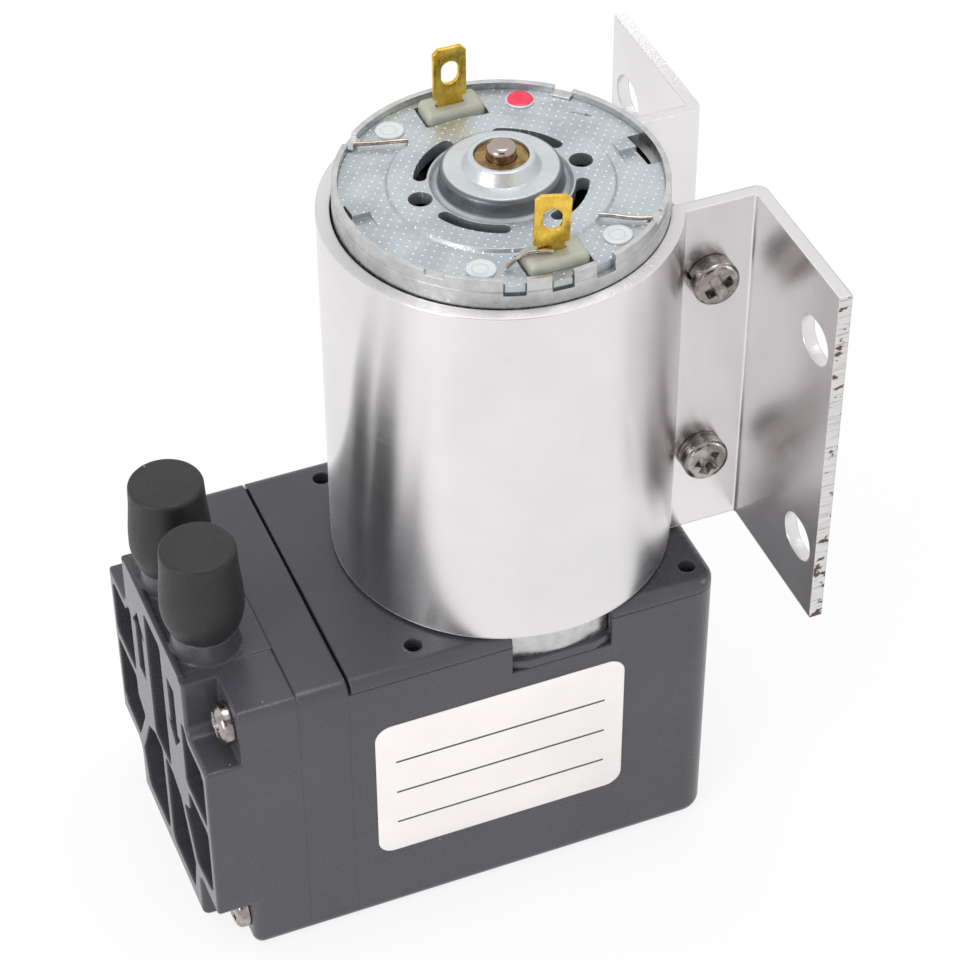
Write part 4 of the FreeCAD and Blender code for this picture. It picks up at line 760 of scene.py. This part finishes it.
@dataclass(frozen=True)
class PanScrew:
    """Pan head machine screw with a cross recess and a cut thread."""

    shank_r: float
    length: float
    head_r: float
    head_h: float
    pitch: float = 0.5
    recess_depth: float = 1.15
    blade_half: float = 0.5
    mouth_share: float = 0.7
    tip_share: float = 0.4
    mouth_widening: float = 1.2
    tip_narrowing: float = 0.7
    mouth_above: float = 0.3
    crown_share: float = 0.74
    crown_rise: float = 0.1
    crown_drop: float = 0.12
    corner_share: float = 0.42
    corner_stretch: float = 1.25
    seat_edge: float = 0.1
    thread_share: float = 0.5
    tip_len: float = 0.5
    tip_r_share: float = 0.35

    def recess(self) -> bmesh.types.BMesh:
        """Closed cross-shaped tool that narrows to its tip, its mouth above the head."""
        tool = bmesh.new()
        rings = []
        mouth = (-self.head_h - self.mouth_above, self.mouth_share, self.mouth_widening)
        tip = (self.recess_depth - self.head_h, self.tip_share, self.tip_narrowing)
        for z, share, width in (mouth, tip):
            reach, half = self.head_r * share, self.blade_half * width
            ring, corner = [], ((reach, -half), (reach, half), (half, half))
            for turn in range(4):
                place = Matrix.Rotation(math.radians(90 * turn), 4, "Z")
                ring += [tool.verts.new(place @ Vector((x, y, z))) for x, y in corner]
            rings.append(ring)
        tool.faces.new(rings[0][::-1])
        tool.faces.new(rings[1])
        for i in range(len(rings[0])):
            tool.faces.new((rings[0][i - 1], rings[0][i], rings[1][i], rings[1][i - 1]))
        bmesh.ops.recalc_face_normals(tool, faces=tool.faces)
        return tool

    def head(self) -> bmesh.types.BMesh:
        """Domed head on Z, its seat at 0 and its crown below 0."""
        edge = self.head_h * self.corner_share
        crown_r = self.head_r * self.crown_share
        outline = [(0, -self.head_h)]
        outline += [(crown_r * s, self.crown_rise * s * s - self.head_h) for s in (0.3, 0.6, 0.85)]
        for step in range(9):
            turn = math.radians(10 + 80 * step / 8)
            outline.append((self.head_r - edge * self.corner_stretch * (1 - math.sin(turn)),
                            self.crown_drop - self.head_h + edge * (1 - math.cos(turn))))
        outline += [(self.head_r, -self.crown_drop), (self.head_r - self.seat_edge, 0),
                    (self.shank_r * 0.9, 0), (0, 0)]
        return cut_away(lathe(outline, 56), self.recess())

    def shank(self) -> bmesh.types.BMesh:
        """Threaded shank from 0 to its length along Z."""
        around, per_turn = 40, 10
        rows = int(self.length / self.pitch * per_turn)
        depth = self.pitch * self.thread_share
        mesh = bmesh.new()
        rings = []
        for row in range(rows + 1):
            z = self.length * row / rows
            taper = min(1.0, (self.length - z) / self.tip_len + self.tip_r_share)
            ring = []
            for i in range(around):
                phase = (z / self.pitch - i / around) % 1.0
                radius = (self.shank_r - depth * abs(2 * phase - 1)) * taper
                turn = math.tau * i / around
                ring.append(mesh.verts.new((radius * math.cos(turn), radius * math.sin(turn), z)))
            rings.append(ring)
        for low, high in zip(rings, rings[1:]):
            for i in range(around):
                j = (i + 1) % around
                mesh.faces.new((low[i], low[j], high[j], high[i]))
        mesh.faces.new(rings[0][::-1])
        mesh.faces.new(rings[-1])
        return mesh

    def build(self, turn: float = 0.0) -> bmesh.types.BMesh:
        """Whole screw along +Z, the seat under its head at 0.

        Args:
            turn: How far the recess is turned, in degrees.

        Returns:
            The screw's mesh.
        """
        head = moved(self.head(), Matrix.Rotation(math.radians(turn), 4, "Z"))
        return merge([head, self.shank()])


@dataclass
class PumpHead:
    """Crankcase, lid, valve plate and ribbed cover with their screws."""

    screw: PanScrew = PanScrew(1.5, 18.0, 2.45, 1.7)
    seat_x: float = -38.4
    screw_y: float = 14.7
    screw_z: tuple[float, float] = (3.95, 34.95)
    turns: tuple[float, ...] = (12.0, 57.0, 33.0, 80.0)

    def dress(self) -> None:
        """Finish the moulded parts and the soft parts inside."""
        dress(MOULDED_ABS, "crankcase", "crankcase_lid", "valve_plate", "head_cover")
        dress(SEAL_RUBBER, "diaphragm", "passage_seals", "inlet_flap", "outlet_flap")
        dress(NICKEL_STEEL, "lid_screws")

    def build(self) -> None:
        """Make the four head screws."""
        along = Matrix.Rotation(math.radians(90), 4, "Y")
        parts = []
        places = [(y, z) for y in (-self.screw_y, self.screw_y) for z in self.screw_z]
        for (y, z), turn in zip(places, self.turns):
            place = Matrix.Translation((self.seat_x, y, z)) @ along
            parts.append(moved(self.screw.build(turn), place))
        piece = make_piece("head_screws_pan", merge(parts), Matrix.Identity(4), NICKEL_STEEL)
        settle(piece, "housing", "nickel_steel", "head_screws")


@dataclass
class NozzleCaps:
    """Two push-on rubber caps with a belly above the open rim."""

    x: float = -37.9
    y: float = 5.6
    low: float = 41.65
    length: float = 11.6
    rim_r: float = 3.85
    rim_edge: float = 0.18
    belly: tuple[tuple[float, float], ...] = ((4.3, 1.1), (4.68, 2.6), (4.73, 3.8), (4.66, 5.6),
                                              (4.4, 8.6))
    top_r: float = 4.28
    bore_r: float = 2.55
    bore_edge: float = 0.15
    roof: float = 2.4
    roof_edge: float = 0.2
    edge_r: float = 0.45
    crown_sink: float = 0.06

    def mesh(self) -> bmesh.types.BMesh:
        """One cap standing on Z = 0."""
        rim = (self.rim_r, self.rim_edge)
        side = curve_through([rim, *self.belly, (self.top_r, self.length - self.edge_r)])
        centre = (self.top_r - self.edge_r, self.length - self.edge_r)
        corner = arc(centre, self.edge_r, 0, 90, 6)[1:]
        crown = [(self.top_r * 0.55, self.length - self.crown_sink / 2),
                 (0, self.length - self.crown_sink)]
        ceiling = self.length - self.roof
        inside = [(0, ceiling), (self.bore_r - self.roof_edge, ceiling),
                  (self.bore_r, ceiling - self.roof_edge), (self.bore_r, self.bore_edge),
                  (self.bore_r + self.bore_edge, 0), (self.rim_r - self.rim_edge, 0), rim]
        mesh = lathe(inside + side[1:] + corner + crown, 72)
        bmesh.ops.remove_doubles(mesh, verts=mesh.verts, dist=1e-5)
        return mesh

    def build(self) -> None:
        """Make both caps."""
        for name, side in (("inlet_cap", -1), ("outlet_cap", 1)):
            place = Matrix.Translation((self.x, side * self.y, self.low))
            piece = make_piece(name + "_moulded", self.mesh(), place, MOULDED_RUBBER, 60.0)
            settle(piece, name, "cap_rubber", name)


@dataclass
class ClampBracket:
    """Bent sheet bracket with its two clamp screws, spring washers and nuts."""

    screw: PanScrew = PanScrew(1.5, 20.5, 2.7, 1.9, recess_depth=1.05, blade_half=0.66)
    screw_x: float = 20.6
    heights: tuple[float, float] = (50.4, 75.6)
    ear_y: float = -8.9
    washer_t: float = 0.8
    washer_r: float = 2.65
    washer_bore: float = 1.6
    washer_rise: float = 0.12
    washer_split: float = 12.0
    washer_edge: float = 0.06
    turns: tuple[float, float] = (25.0, 64.0)

    def washer(self) -> bmesh.types.BMesh:
        """Split spring washer about Z, slightly sprung, from 0 to its thickness."""
        steps, gap = 48, math.radians(self.washer_split)
        mesh = bmesh.new()
        rings = []
        for step in range(steps + 1):
            share = step / steps
            turn = gap / 2 + (math.tau - gap) * share
            low = self.washer_rise * share
            high = low + self.washer_t - self.washer_rise
            corners = ((self.washer_bore, low), (self.washer_r, low), (self.washer_r, high),
                       (self.washer_bore, high))
            rings.append([mesh.verts.new((r * math.cos(turn), r * math.sin(turn), z))
                          for r, z in corners])
        for a, b in zip(rings, rings[1:]):
            for i in range(4):
                j = (i + 1) % 4
                mesh.faces.new((a[i], a[j], b[j], b[i]))
        mesh.faces.new(rings[0][::-1])
        mesh.faces.new(rings[-1])
        bmesh.ops.recalc_face_normals(mesh, faces=mesh.faces)
        bmesh.ops.bevel(mesh, geom=[e for e in mesh.edges if e.calc_face_angle(0) > 1.2],
                        offset=self.washer_edge, segments=2, affect="EDGES")
        return mesh

    def build(self) -> None:
        """Finish the sheet and make screws and washers."""
        dress(ROLLED_ALUMINIUM, "bracket")
        dress(SPRING_STEEL, "clamp_nuts")
        along = Matrix.Rotation(math.radians(-90), 4, "X")
        screws, washers = [], []
        for height, turn in zip(self.heights, self.turns):
            seat = Matrix.Translation((self.screw_x, self.ear_y - self.washer_t, height)) @ along
            screws.append(moved(self.screw.build(turn), seat))
            spin = Matrix.Rotation(math.radians(turn * 3), 4, "Z")
            washers.append(moved(self.washer(), seat @ spin))
        piece = make_piece("clamp_screws_pan", merge(screws), Matrix.Identity(4), NICKEL_STEEL)
        settle(piece, "housing", "nickel_steel", "clamp_screws")
        piece = make_piece("spring_washers_split", merge(washers), Matrix.Identity(4),
                           SPRING_STEEL)
        settle(piece, "housing", "dark_steel", "spring_washers")


@dataclass
class SheetShape:
    """Flat stamped shape with soft edges, made from outlines in its own plane."""

    thickness: float
    edge: float

    def build(self, outlines: list[Outline]) -> bmesh.types.BMesh:
        """Fill outlines, later ones being holes in the first.

        Args:
            outlines: Closed outlines as (x, y) pairs in millimetres.

        Returns:
            The sheet, centred on Z = 0.
        """
        curve = bpy.data.curves.new("sheet", "CURVE")
        curve.dimensions, curve.fill_mode = "2D", "BOTH"
        curve.extrude, curve.bevel_depth = self.thickness / 2 - self.edge, self.edge
        curve.bevel_resolution, curve.offset = 2, -self.edge
        for outline in outlines:
            spline = curve.splines.new("POLY")
            spline.points.add(len(outline) - 1)
            for point, (x, y) in zip(spline.points, outline):
                point.co = (x, y, 0, 1)
            spline.use_cyclic_u = True
        mesh = mesh_of_curve(curve)
        bmesh.ops.remove_doubles(mesh, verts=mesh.verts, dist=1e-4)
        bmesh.ops.recalc_face_normals(mesh, faces=mesh.faces)
        return mesh


def arc(centre: tuple[float, float], radius: float, start: float, end: float,
        steps: int = 10) -> Outline:
    """Points along an arc, angles in degrees."""
    return [(centre[0] + radius * math.cos(math.radians(start + (end - start) * i / steps)),
             centre[1] + radius * math.sin(math.radians(start + (end - start) * i / steps)))
            for i in range(steps + 1)]


def rounded_box(x: tuple[float, float], y: tuple[float, float], radius: float) -> Outline:
    """Rectangle with round corners, anticlockwise."""
    corners = ((x[1], y[0], -90), (x[1], y[1], 0), (x[0], y[1], 90), (x[0], y[0], 180))
    points = []
    for cx, cy, start in corners:
        centre = (cx - math.copysign(radius, cx - sum(x) / 2),
                  cy - math.copysign(radius, cy - sum(y) / 2))
        points += arc(centre, radius, start, start + 90)
    return points


@dataclass
class Label:
    """White sticker on the label side."""

    x: tuple[float, float] = (-22.8, 7.8)
    z: tuple[float, float] = (9.9, 30.6)
    y: float = -18.25
    thickness: float = 0.12
    corner_r: float = 2.0

    def build(self) -> None:
        """Make the sheet, standing on the wall."""
        sheet = SheetShape(self.thickness, 0.03)
        mesh = sheet.build([rounded_box(self.x, self.z, self.corner_r)])
        stand = Matrix.Rotation(math.radians(90), 4, "X")
        place = Matrix.Translation((0, self.y - self.thickness / 2, 0)) @ stand
        settle(make_piece("label_sticker", mesh, place, LABEL_FILM), "housing", "label_film",
               "label")


@dataclass
class Motor:
    """Can, end cap, bearing, brush gear, terminals and the inside of the motor."""

    cap_z: float = 87.5
    block_y: float = 14.0
    terminal_x: float = -0.3
    half_w: float = 1.9
    foot_half: float = 1.45
    low: float = -3.2
    neck: float = 2.0
    shoulder: float = 0.15
    top: float = 8.4
    chamfer: float = 0.6
    hole_r: float = 1.0
    hole_from: float = 3.8
    hole_to: float = 6.7
    sheet_t: float = 0.5
    front_turn: float = -19.0
    front_lean: float = 5.0
    bend_below_neck: float = 0.4
    bend_len: float = 1.2
    wire_r: float = 0.24
    dot_place: Point = (7.6, 13.1, 87.75)
    dot_r: float = 1.5
    dot_h: float = 0.12

    def dress(self) -> None:
        """Finish the CAD nodes."""
        dress(DRAWN_STEEL, "motor_can")
        dress(PRESSED_ZINC, "motor_end_cap")
        dress(GROUND_STEEL, "shaft")
        dress(SINTERED_BRONZE, "upper_bush", "lower_bush")
        dress(NATURAL_NYLON, "brush_holders")
        dress(GLASS_NYLON, "shaft_washers")
        dress(CARBON, "brushes")
        dress(STAMPED_BRASS, "brush_arms")
        dress(FERRITE, "magnets")
        dress(SPRING_STEEL, "magnet_clips")
        dress(NICKEL_STEEL, "motor_screws")
        dress(LAMINATED_STEEL, "armature_core")
        dress(ENAMELLED_COPPER, "windings")
        dress(TURNED_COPPER, "commutator")

    def blade(self) -> bmesh.types.BMesh:
        """Terminal blade in its own plane: X across, Y up from the end cap."""
        w, foot, cut = self.half_w, self.foot_half, self.chamfer
        shoulder = self.neck + self.shoulder
        outline = [(-foot, self.low), (foot, self.low), (foot, self.neck), (w, shoulder),
                   (w, self.top - cut), (w - cut, self.top), (cut - w, self.top),
                   (-w, self.top - cut), (-w, shoulder), (-foot, self.neck)]
        hole = arc((0, self.hole_to - self.hole_r), self.hole_r, 0, 180, 14)
        hole += arc((0, self.hole_from + self.hole_r), self.hole_r, 180, 360, 14)
        return SheetShape(self.sheet_t, 0.06).build([outline, hole[::-1]])

    def terminals(self) -> None:
        """Make both blades; the front one was bent a little round its foot."""
        stand = Matrix.Rotation(math.radians(90), 4, "X")
        parts = []
        for side, turn, lean in ((-1, self.front_turn, self.front_lean), (1, 0.0, 0.0)):
            mesh = self.blade()
            for vert in mesh.verts:
                above = vert.co.y - self.neck + self.bend_below_neck
                share = min(1.0, max(0.0, above / self.bend_len))
                angle = math.radians(turn * share)
                x, z = vert.co.x, vert.co.z
                vert.co.x = x * math.cos(angle) + z * math.sin(angle)
                vert.co.z = z * math.cos(angle) - x * math.sin(angle)
                vert.co.z += share * (vert.co.y - self.neck) * math.sin(math.radians(lean))
            place = Matrix.Translation((self.terminal_x, side * self.block_y, self.cap_z)) @ stand
            parts.append(moved(mesh, place))
        piece = make_piece("terminals_stamped", merge(parts), Matrix.Identity(4), STAMPED_BRASS)
        settle(piece, "housing", "brass", "terminals")

    def wires(self) -> None:
        """Make the three cut wire ends as bent round wire."""
        routes = [
            [(-12.3, 11.7, 88.05), (-11.4, 11.35, 88.05), (-9.6, 10.75, 88.1),
             (-8.0, 10.25, 88.2), (-6.7, 9.9, 88.18)],
            [(6.8, -9.9, 88.18), (8.0, -10.5, 88.2), (9.1, -11.2, 88.1),
             (11.0, -12.2, 88.05), (11.9, -12.3, 88.05)],
            [(-0.4, -14.75, 88.97), (-0.9, -14.62, 89.15), (-1.7, -14.52, 89.2),
             (-2.5, -14.25, 89.15), (-3.4, -14.05, 88.9), (-4.4, -13.85, 88.3),
             (-5.3, -14.1, 87.85)],
        ]
        curve = bpy.data.curves.new("wires", "CURVE")
        curve.dimensions, curve.bevel_depth, curve.bevel_resolution = "3D", self.wire_r, 5
        curve.use_fill_caps, curve.resolution_u = True, 8
        for route in routes:
            spline = curve.splines.new("NURBS")
            spline.points.add(len(route) - 1)
            for point, place in zip(spline.points, route):
                point.co = (*place, 1)
            spline.order_u, spline.use_endpoint_u = 3, True
        piece = make_piece("lead_stubs_wire", mesh_of_curve(curve), Matrix.Identity(4),
                           TINNED_WIRE)
        settle(piece, "housing", "tinned_wire", "lead_stubs")

    def paint_dot(self) -> None:
        """Make the lens of red lacquer on one peg, a little uneven round its rim."""
        profile = ((0, 0), (1, 0), (0.97, 0.45), (0.8, 0.85), (0.4, 1), (0, 1))
        mesh = lathe([(self.dot_r * r, self.dot_h * h) for r, h in profile], 48)
        for vert in mesh.verts:
            turn = math.atan2(vert.co.y, vert.co.x)
            vert.co.xy *= 1 - 0.03 * (1 + math.sin(3 * turn + 1)) - 0.015 * math.sin(5 * turn)
        piece = make_piece("polarity_dot_lacquer", mesh, Matrix.Translation(self.dot_place),
                           RED_LACQUER, 60.0)
        settle(piece, "housing", "red_paint", "polarity_dot")

    def build(self) -> None:
        """Finish the nodes and make the small parts on the end cap."""
        self.dress()
        self.terminals()
        self.wires()
        self.paint_dot()


@dataclass
class Drive:
    """Eccentric, ball bearing and connecting rod."""

    def dress(self) -> None:
        """Finish the drive's nodes."""
        dress(DIE_CAST_ZINC, "eccentric")
        dress(SPRING_STEEL, "eccentric_set_screw")
        dress(GROUND_STEEL, "bearing_inner_ring", "bearing_outer_ring", "bearing_balls")
        dress(STAMPED_BRASS, "bearing_cage")
        dress(GLASS_NYLON, "connecting_rod")
        dress(ROLLED_ALUMINIUM, "diaphragm_clamp_plate")
        dress(NICKEL_STEEL, "clamp_plate_screw")


@dataclass
class Studio:
    """Pale floor, soft light and the camera at the photograph's viewing angle."""

    camera_place: Point = (-98.635, -238.829, 277.247)
    azimuth: float = -21.906
    elevation: float = 41.904
    roll: float = -0.307
    lens: float = 113.55
    sensor: float = 36.0
    floor_half: float = 3.0
    floor_gap: float = 0.2
    floor_glow: float = 0.82
    aim_height: float = 45.0
    card_aim_height: float = 60.0
    card_size: tuple[float, float] = (0.42, 0.34)
    brightest_from: Point = (-0.65, -0.35, 0.55)
    room_reach: float = 0.8
    room_dim: float = 0.45
    room_bright: float = 1.25

    def aim(self, item: bpy.types.Object, place: Point, height: float) -> None:
        """Put an object at a place and turn it to a point on the motor's axis.

        Args:
            item: The lamp or board.
            place: Where it stands, in millimetres.
            height: Height of the point, in millimetres.
        """
        item.location = Vector(place) * MM
        towards = Vector((0, 0, height)) * MM - item.location
        item.rotation_euler = towards.to_track_quat("-Z", "Y").to_euler()

    def camera(self) -> None:
        """Create the camera."""
        a, e, r = (math.radians(v) for v in (self.azimuth, self.elevation, self.roll))
        back = Vector((math.sin(a) * math.cos(e), -math.cos(a) * math.cos(e), math.sin(e)))
        right = Vector((math.cos(a), math.sin(a), 0))
        up = back.cross(right)
        right, up = right * math.cos(r) + up * math.sin(r), up * math.cos(r) - right * math.sin(r)
        turn = Matrix((right, up, back)).transposed().to_4x4()
        data = bpy.data.cameras.new("studio_camera")
        data.lens, data.sensor_width, data.sensor_fit = self.lens, self.sensor, "HORIZONTAL"
        data.clip_start, data.clip_end = 0.01, 20
        camera = add_object("studio_camera", data)
        camera.matrix_world = Matrix.Translation(Vector(self.camera_place) * MM) @ turn
        bpy.context.scene.camera = camera

    def backdrop_material(self) -> bpy.types.Material:
        """Near-white painted floor that keeps a faint shadow in front of the camera."""
        material = bpy.data.materials.new("painted_floor_white")
        tree = empty_tree(material)
        place = add_node(tree, "ShaderNodeTexCoord")
        mottle = add_node(tree, "ShaderNodeTexNoise", {"Scale": 12.0, "Detail": 2.0},
                          {"Vector": place.outputs["Object"]})
        tone = add_node(tree, "ShaderNodeMix",
                        {"data_type": "RGBA", 6: linear("#f4f4f5"), 7: linear("#f1f1f2")},
                        {0: mottle.outputs["Fac"]})
        paint = add_node(tree, "ShaderNodeBsdfDiffuse", links={"Color": tone.outputs[2]})
        glow = add_node(tree, "ShaderNodeEmission", {"Color": (1, 1, 1, 1), "Strength": 1.0})
        share = add_node(tree, "ShaderNodeMath", {"operation": "MULTIPLY", 1: self.floor_glow},
                         {0: self.seen_rays(tree)})
        mix = add_node(tree, "ShaderNodeMixShader", links={
            0: share.outputs[0], 1: paint.outputs[0], 2: glow.outputs[0]})
        add_node(tree, "ShaderNodeOutputMaterial", links={"Surface": mix.outputs[0]})
        return material

    def floor(self) -> None:
        """Make the floor."""
        mesh = bmesh.new()
        bmesh.ops.create_grid(mesh, x_segments=8, y_segments=8, size=self.floor_half)
        floor = add_object("studio_floor", data_of("studio_floor", mesh))
        floor.location.z = -self.floor_gap * MM
        floor.data.materials.append(self.backdrop_material())

    def card(self, name: str, place: Point, size: tuple[float, float], tone: str) -> None:
        """Grey board that only mirror-like surfaces pick up, facing the pump.

        Args:
            name: Name of the board.
            place: Its middle, in millimetres.
            size: Width and height in metres.
            tone: Its grey.
        """
        material = bpy.data.materials.new(name + "_painted")
        tree = empty_tree(material)
        rays = add_node(tree, "ShaderNodeLightPath")
        clear = add_node(tree, "ShaderNodeBsdfTransparent")
        board = add_node(tree, "ShaderNodeEmission", {"Color": linear(tone), "Strength": 1.0})
        mix = add_node(tree, "ShaderNodeMixShader", links={
            0: rays.outputs["Is Glossy Ray"], 1: clear.outputs[0], 2: board.outputs[0]})
        add_node(tree, "ShaderNodeOutputMaterial", links={"Surface": mix.outputs[0]})
        mesh = bmesh.new()
        bmesh.ops.create_grid(mesh, x_segments=1, y_segments=1, size=0.5)
        bmesh.ops.scale(mesh, vec=(*size, 1), verts=mesh.verts)
        card = add_object(name, data_of(name, mesh))
        card.data.materials.append(material)
        self.aim(card, place, self.card_aim_height)

    def world(self) -> None:
        """Soft room light, brightest in front, with a white room behind the object."""
        world = bpy.data.worlds.new("studio_room")
        tree = empty_tree(world)
        place = add_node(tree, "ShaderNodeTexCoord")
        towards = add_node(tree, "ShaderNodeVectorMath",
                           {"operation": "DOT_PRODUCT", 1: self.brightest_from},
                           {0: place.outputs["Generated"]})
        level = add_node(tree, "ShaderNodeMapRange",
                         {1: -self.room_reach, 2: self.room_reach, 3: self.room_dim,
                          4: self.room_bright}, {0: towards.outputs["Value"]})
        room = add_node(tree, "ShaderNodeBackground", {"Color": linear("#f8f7f6")},
                        {"Strength": level.outputs[0]})
        white = add_node(tree, "ShaderNodeBackground", {"Color": (1, 1, 1, 1), "Strength": 1.0})
        mix = add_node(tree, "ShaderNodeMixShader", links={
            0: self.seen_rays(tree), 1: room.outputs[0], 2: white.outputs[0]})
        add_node(tree, "ShaderNodeOutputWorld", links={"Surface": mix.outputs[0]})
        bpy.context.scene.world = world

    def seen_rays(self, tree: bpy.types.NodeTree) -> bpy.types.NodeSocket:
        """1 for camera, glossy and transmission rays, which show the background itself."""
        rays = add_node(tree, "ShaderNodeLightPath")
        total = rays.outputs["Is Camera Ray"]
        for name in ("Is Glossy Ray", "Is Transmission Ray"):
            node = add_node(tree, "ShaderNodeMath", {"operation": "ADD", "use_clamp": True},
                            {0: total, 1: rays.outputs[name]})
            total = node.outputs[0]
        return total

    def lamp(self, name: str, place: Point, size: float, watts: float) -> None:
        """Square soft box aimed at the pump.

        Args:
            name: Name of the lamp.
            place: Where it stands, in millimetres.
            size: Side in metres.
            watts: Power.
        """
        data = bpy.data.lights.new(name, "AREA")
        data.shape, data.size, data.energy = "SQUARE", size, watts
        self.aim(add_object(name, data), place, self.aim_height)

    def build(self) -> None:
        """Make camera, floor, room and lamps."""
        self.camera()
        self.floor()
        self.world()
        self.card("board_behind_camera", (-150, -420, 430), self.card_size, "#4a4a4c")
        self.lamp("soft_box_left", (-700, -350, 350), 0.3, 2.4)
        self.lamp("soft_box_top", (120, 150, 900), 0.35, 1.6)
        bpy.context.scene.view_settings.view_transform = "Standard"


def main() -> None:
    """Build every sub-assembly in order."""
    logging.basicConfig(level=logging.INFO, format="%(name)s: %(message)s")
    head = PumpHead()
    head.dress()
    head.build()
    NozzleCaps().build()
    Label().build()
    Motor().build()
    ClampBracket().build()
    Drive().dress()
    Studio().build()


if __name__ == "__main__":
    main()
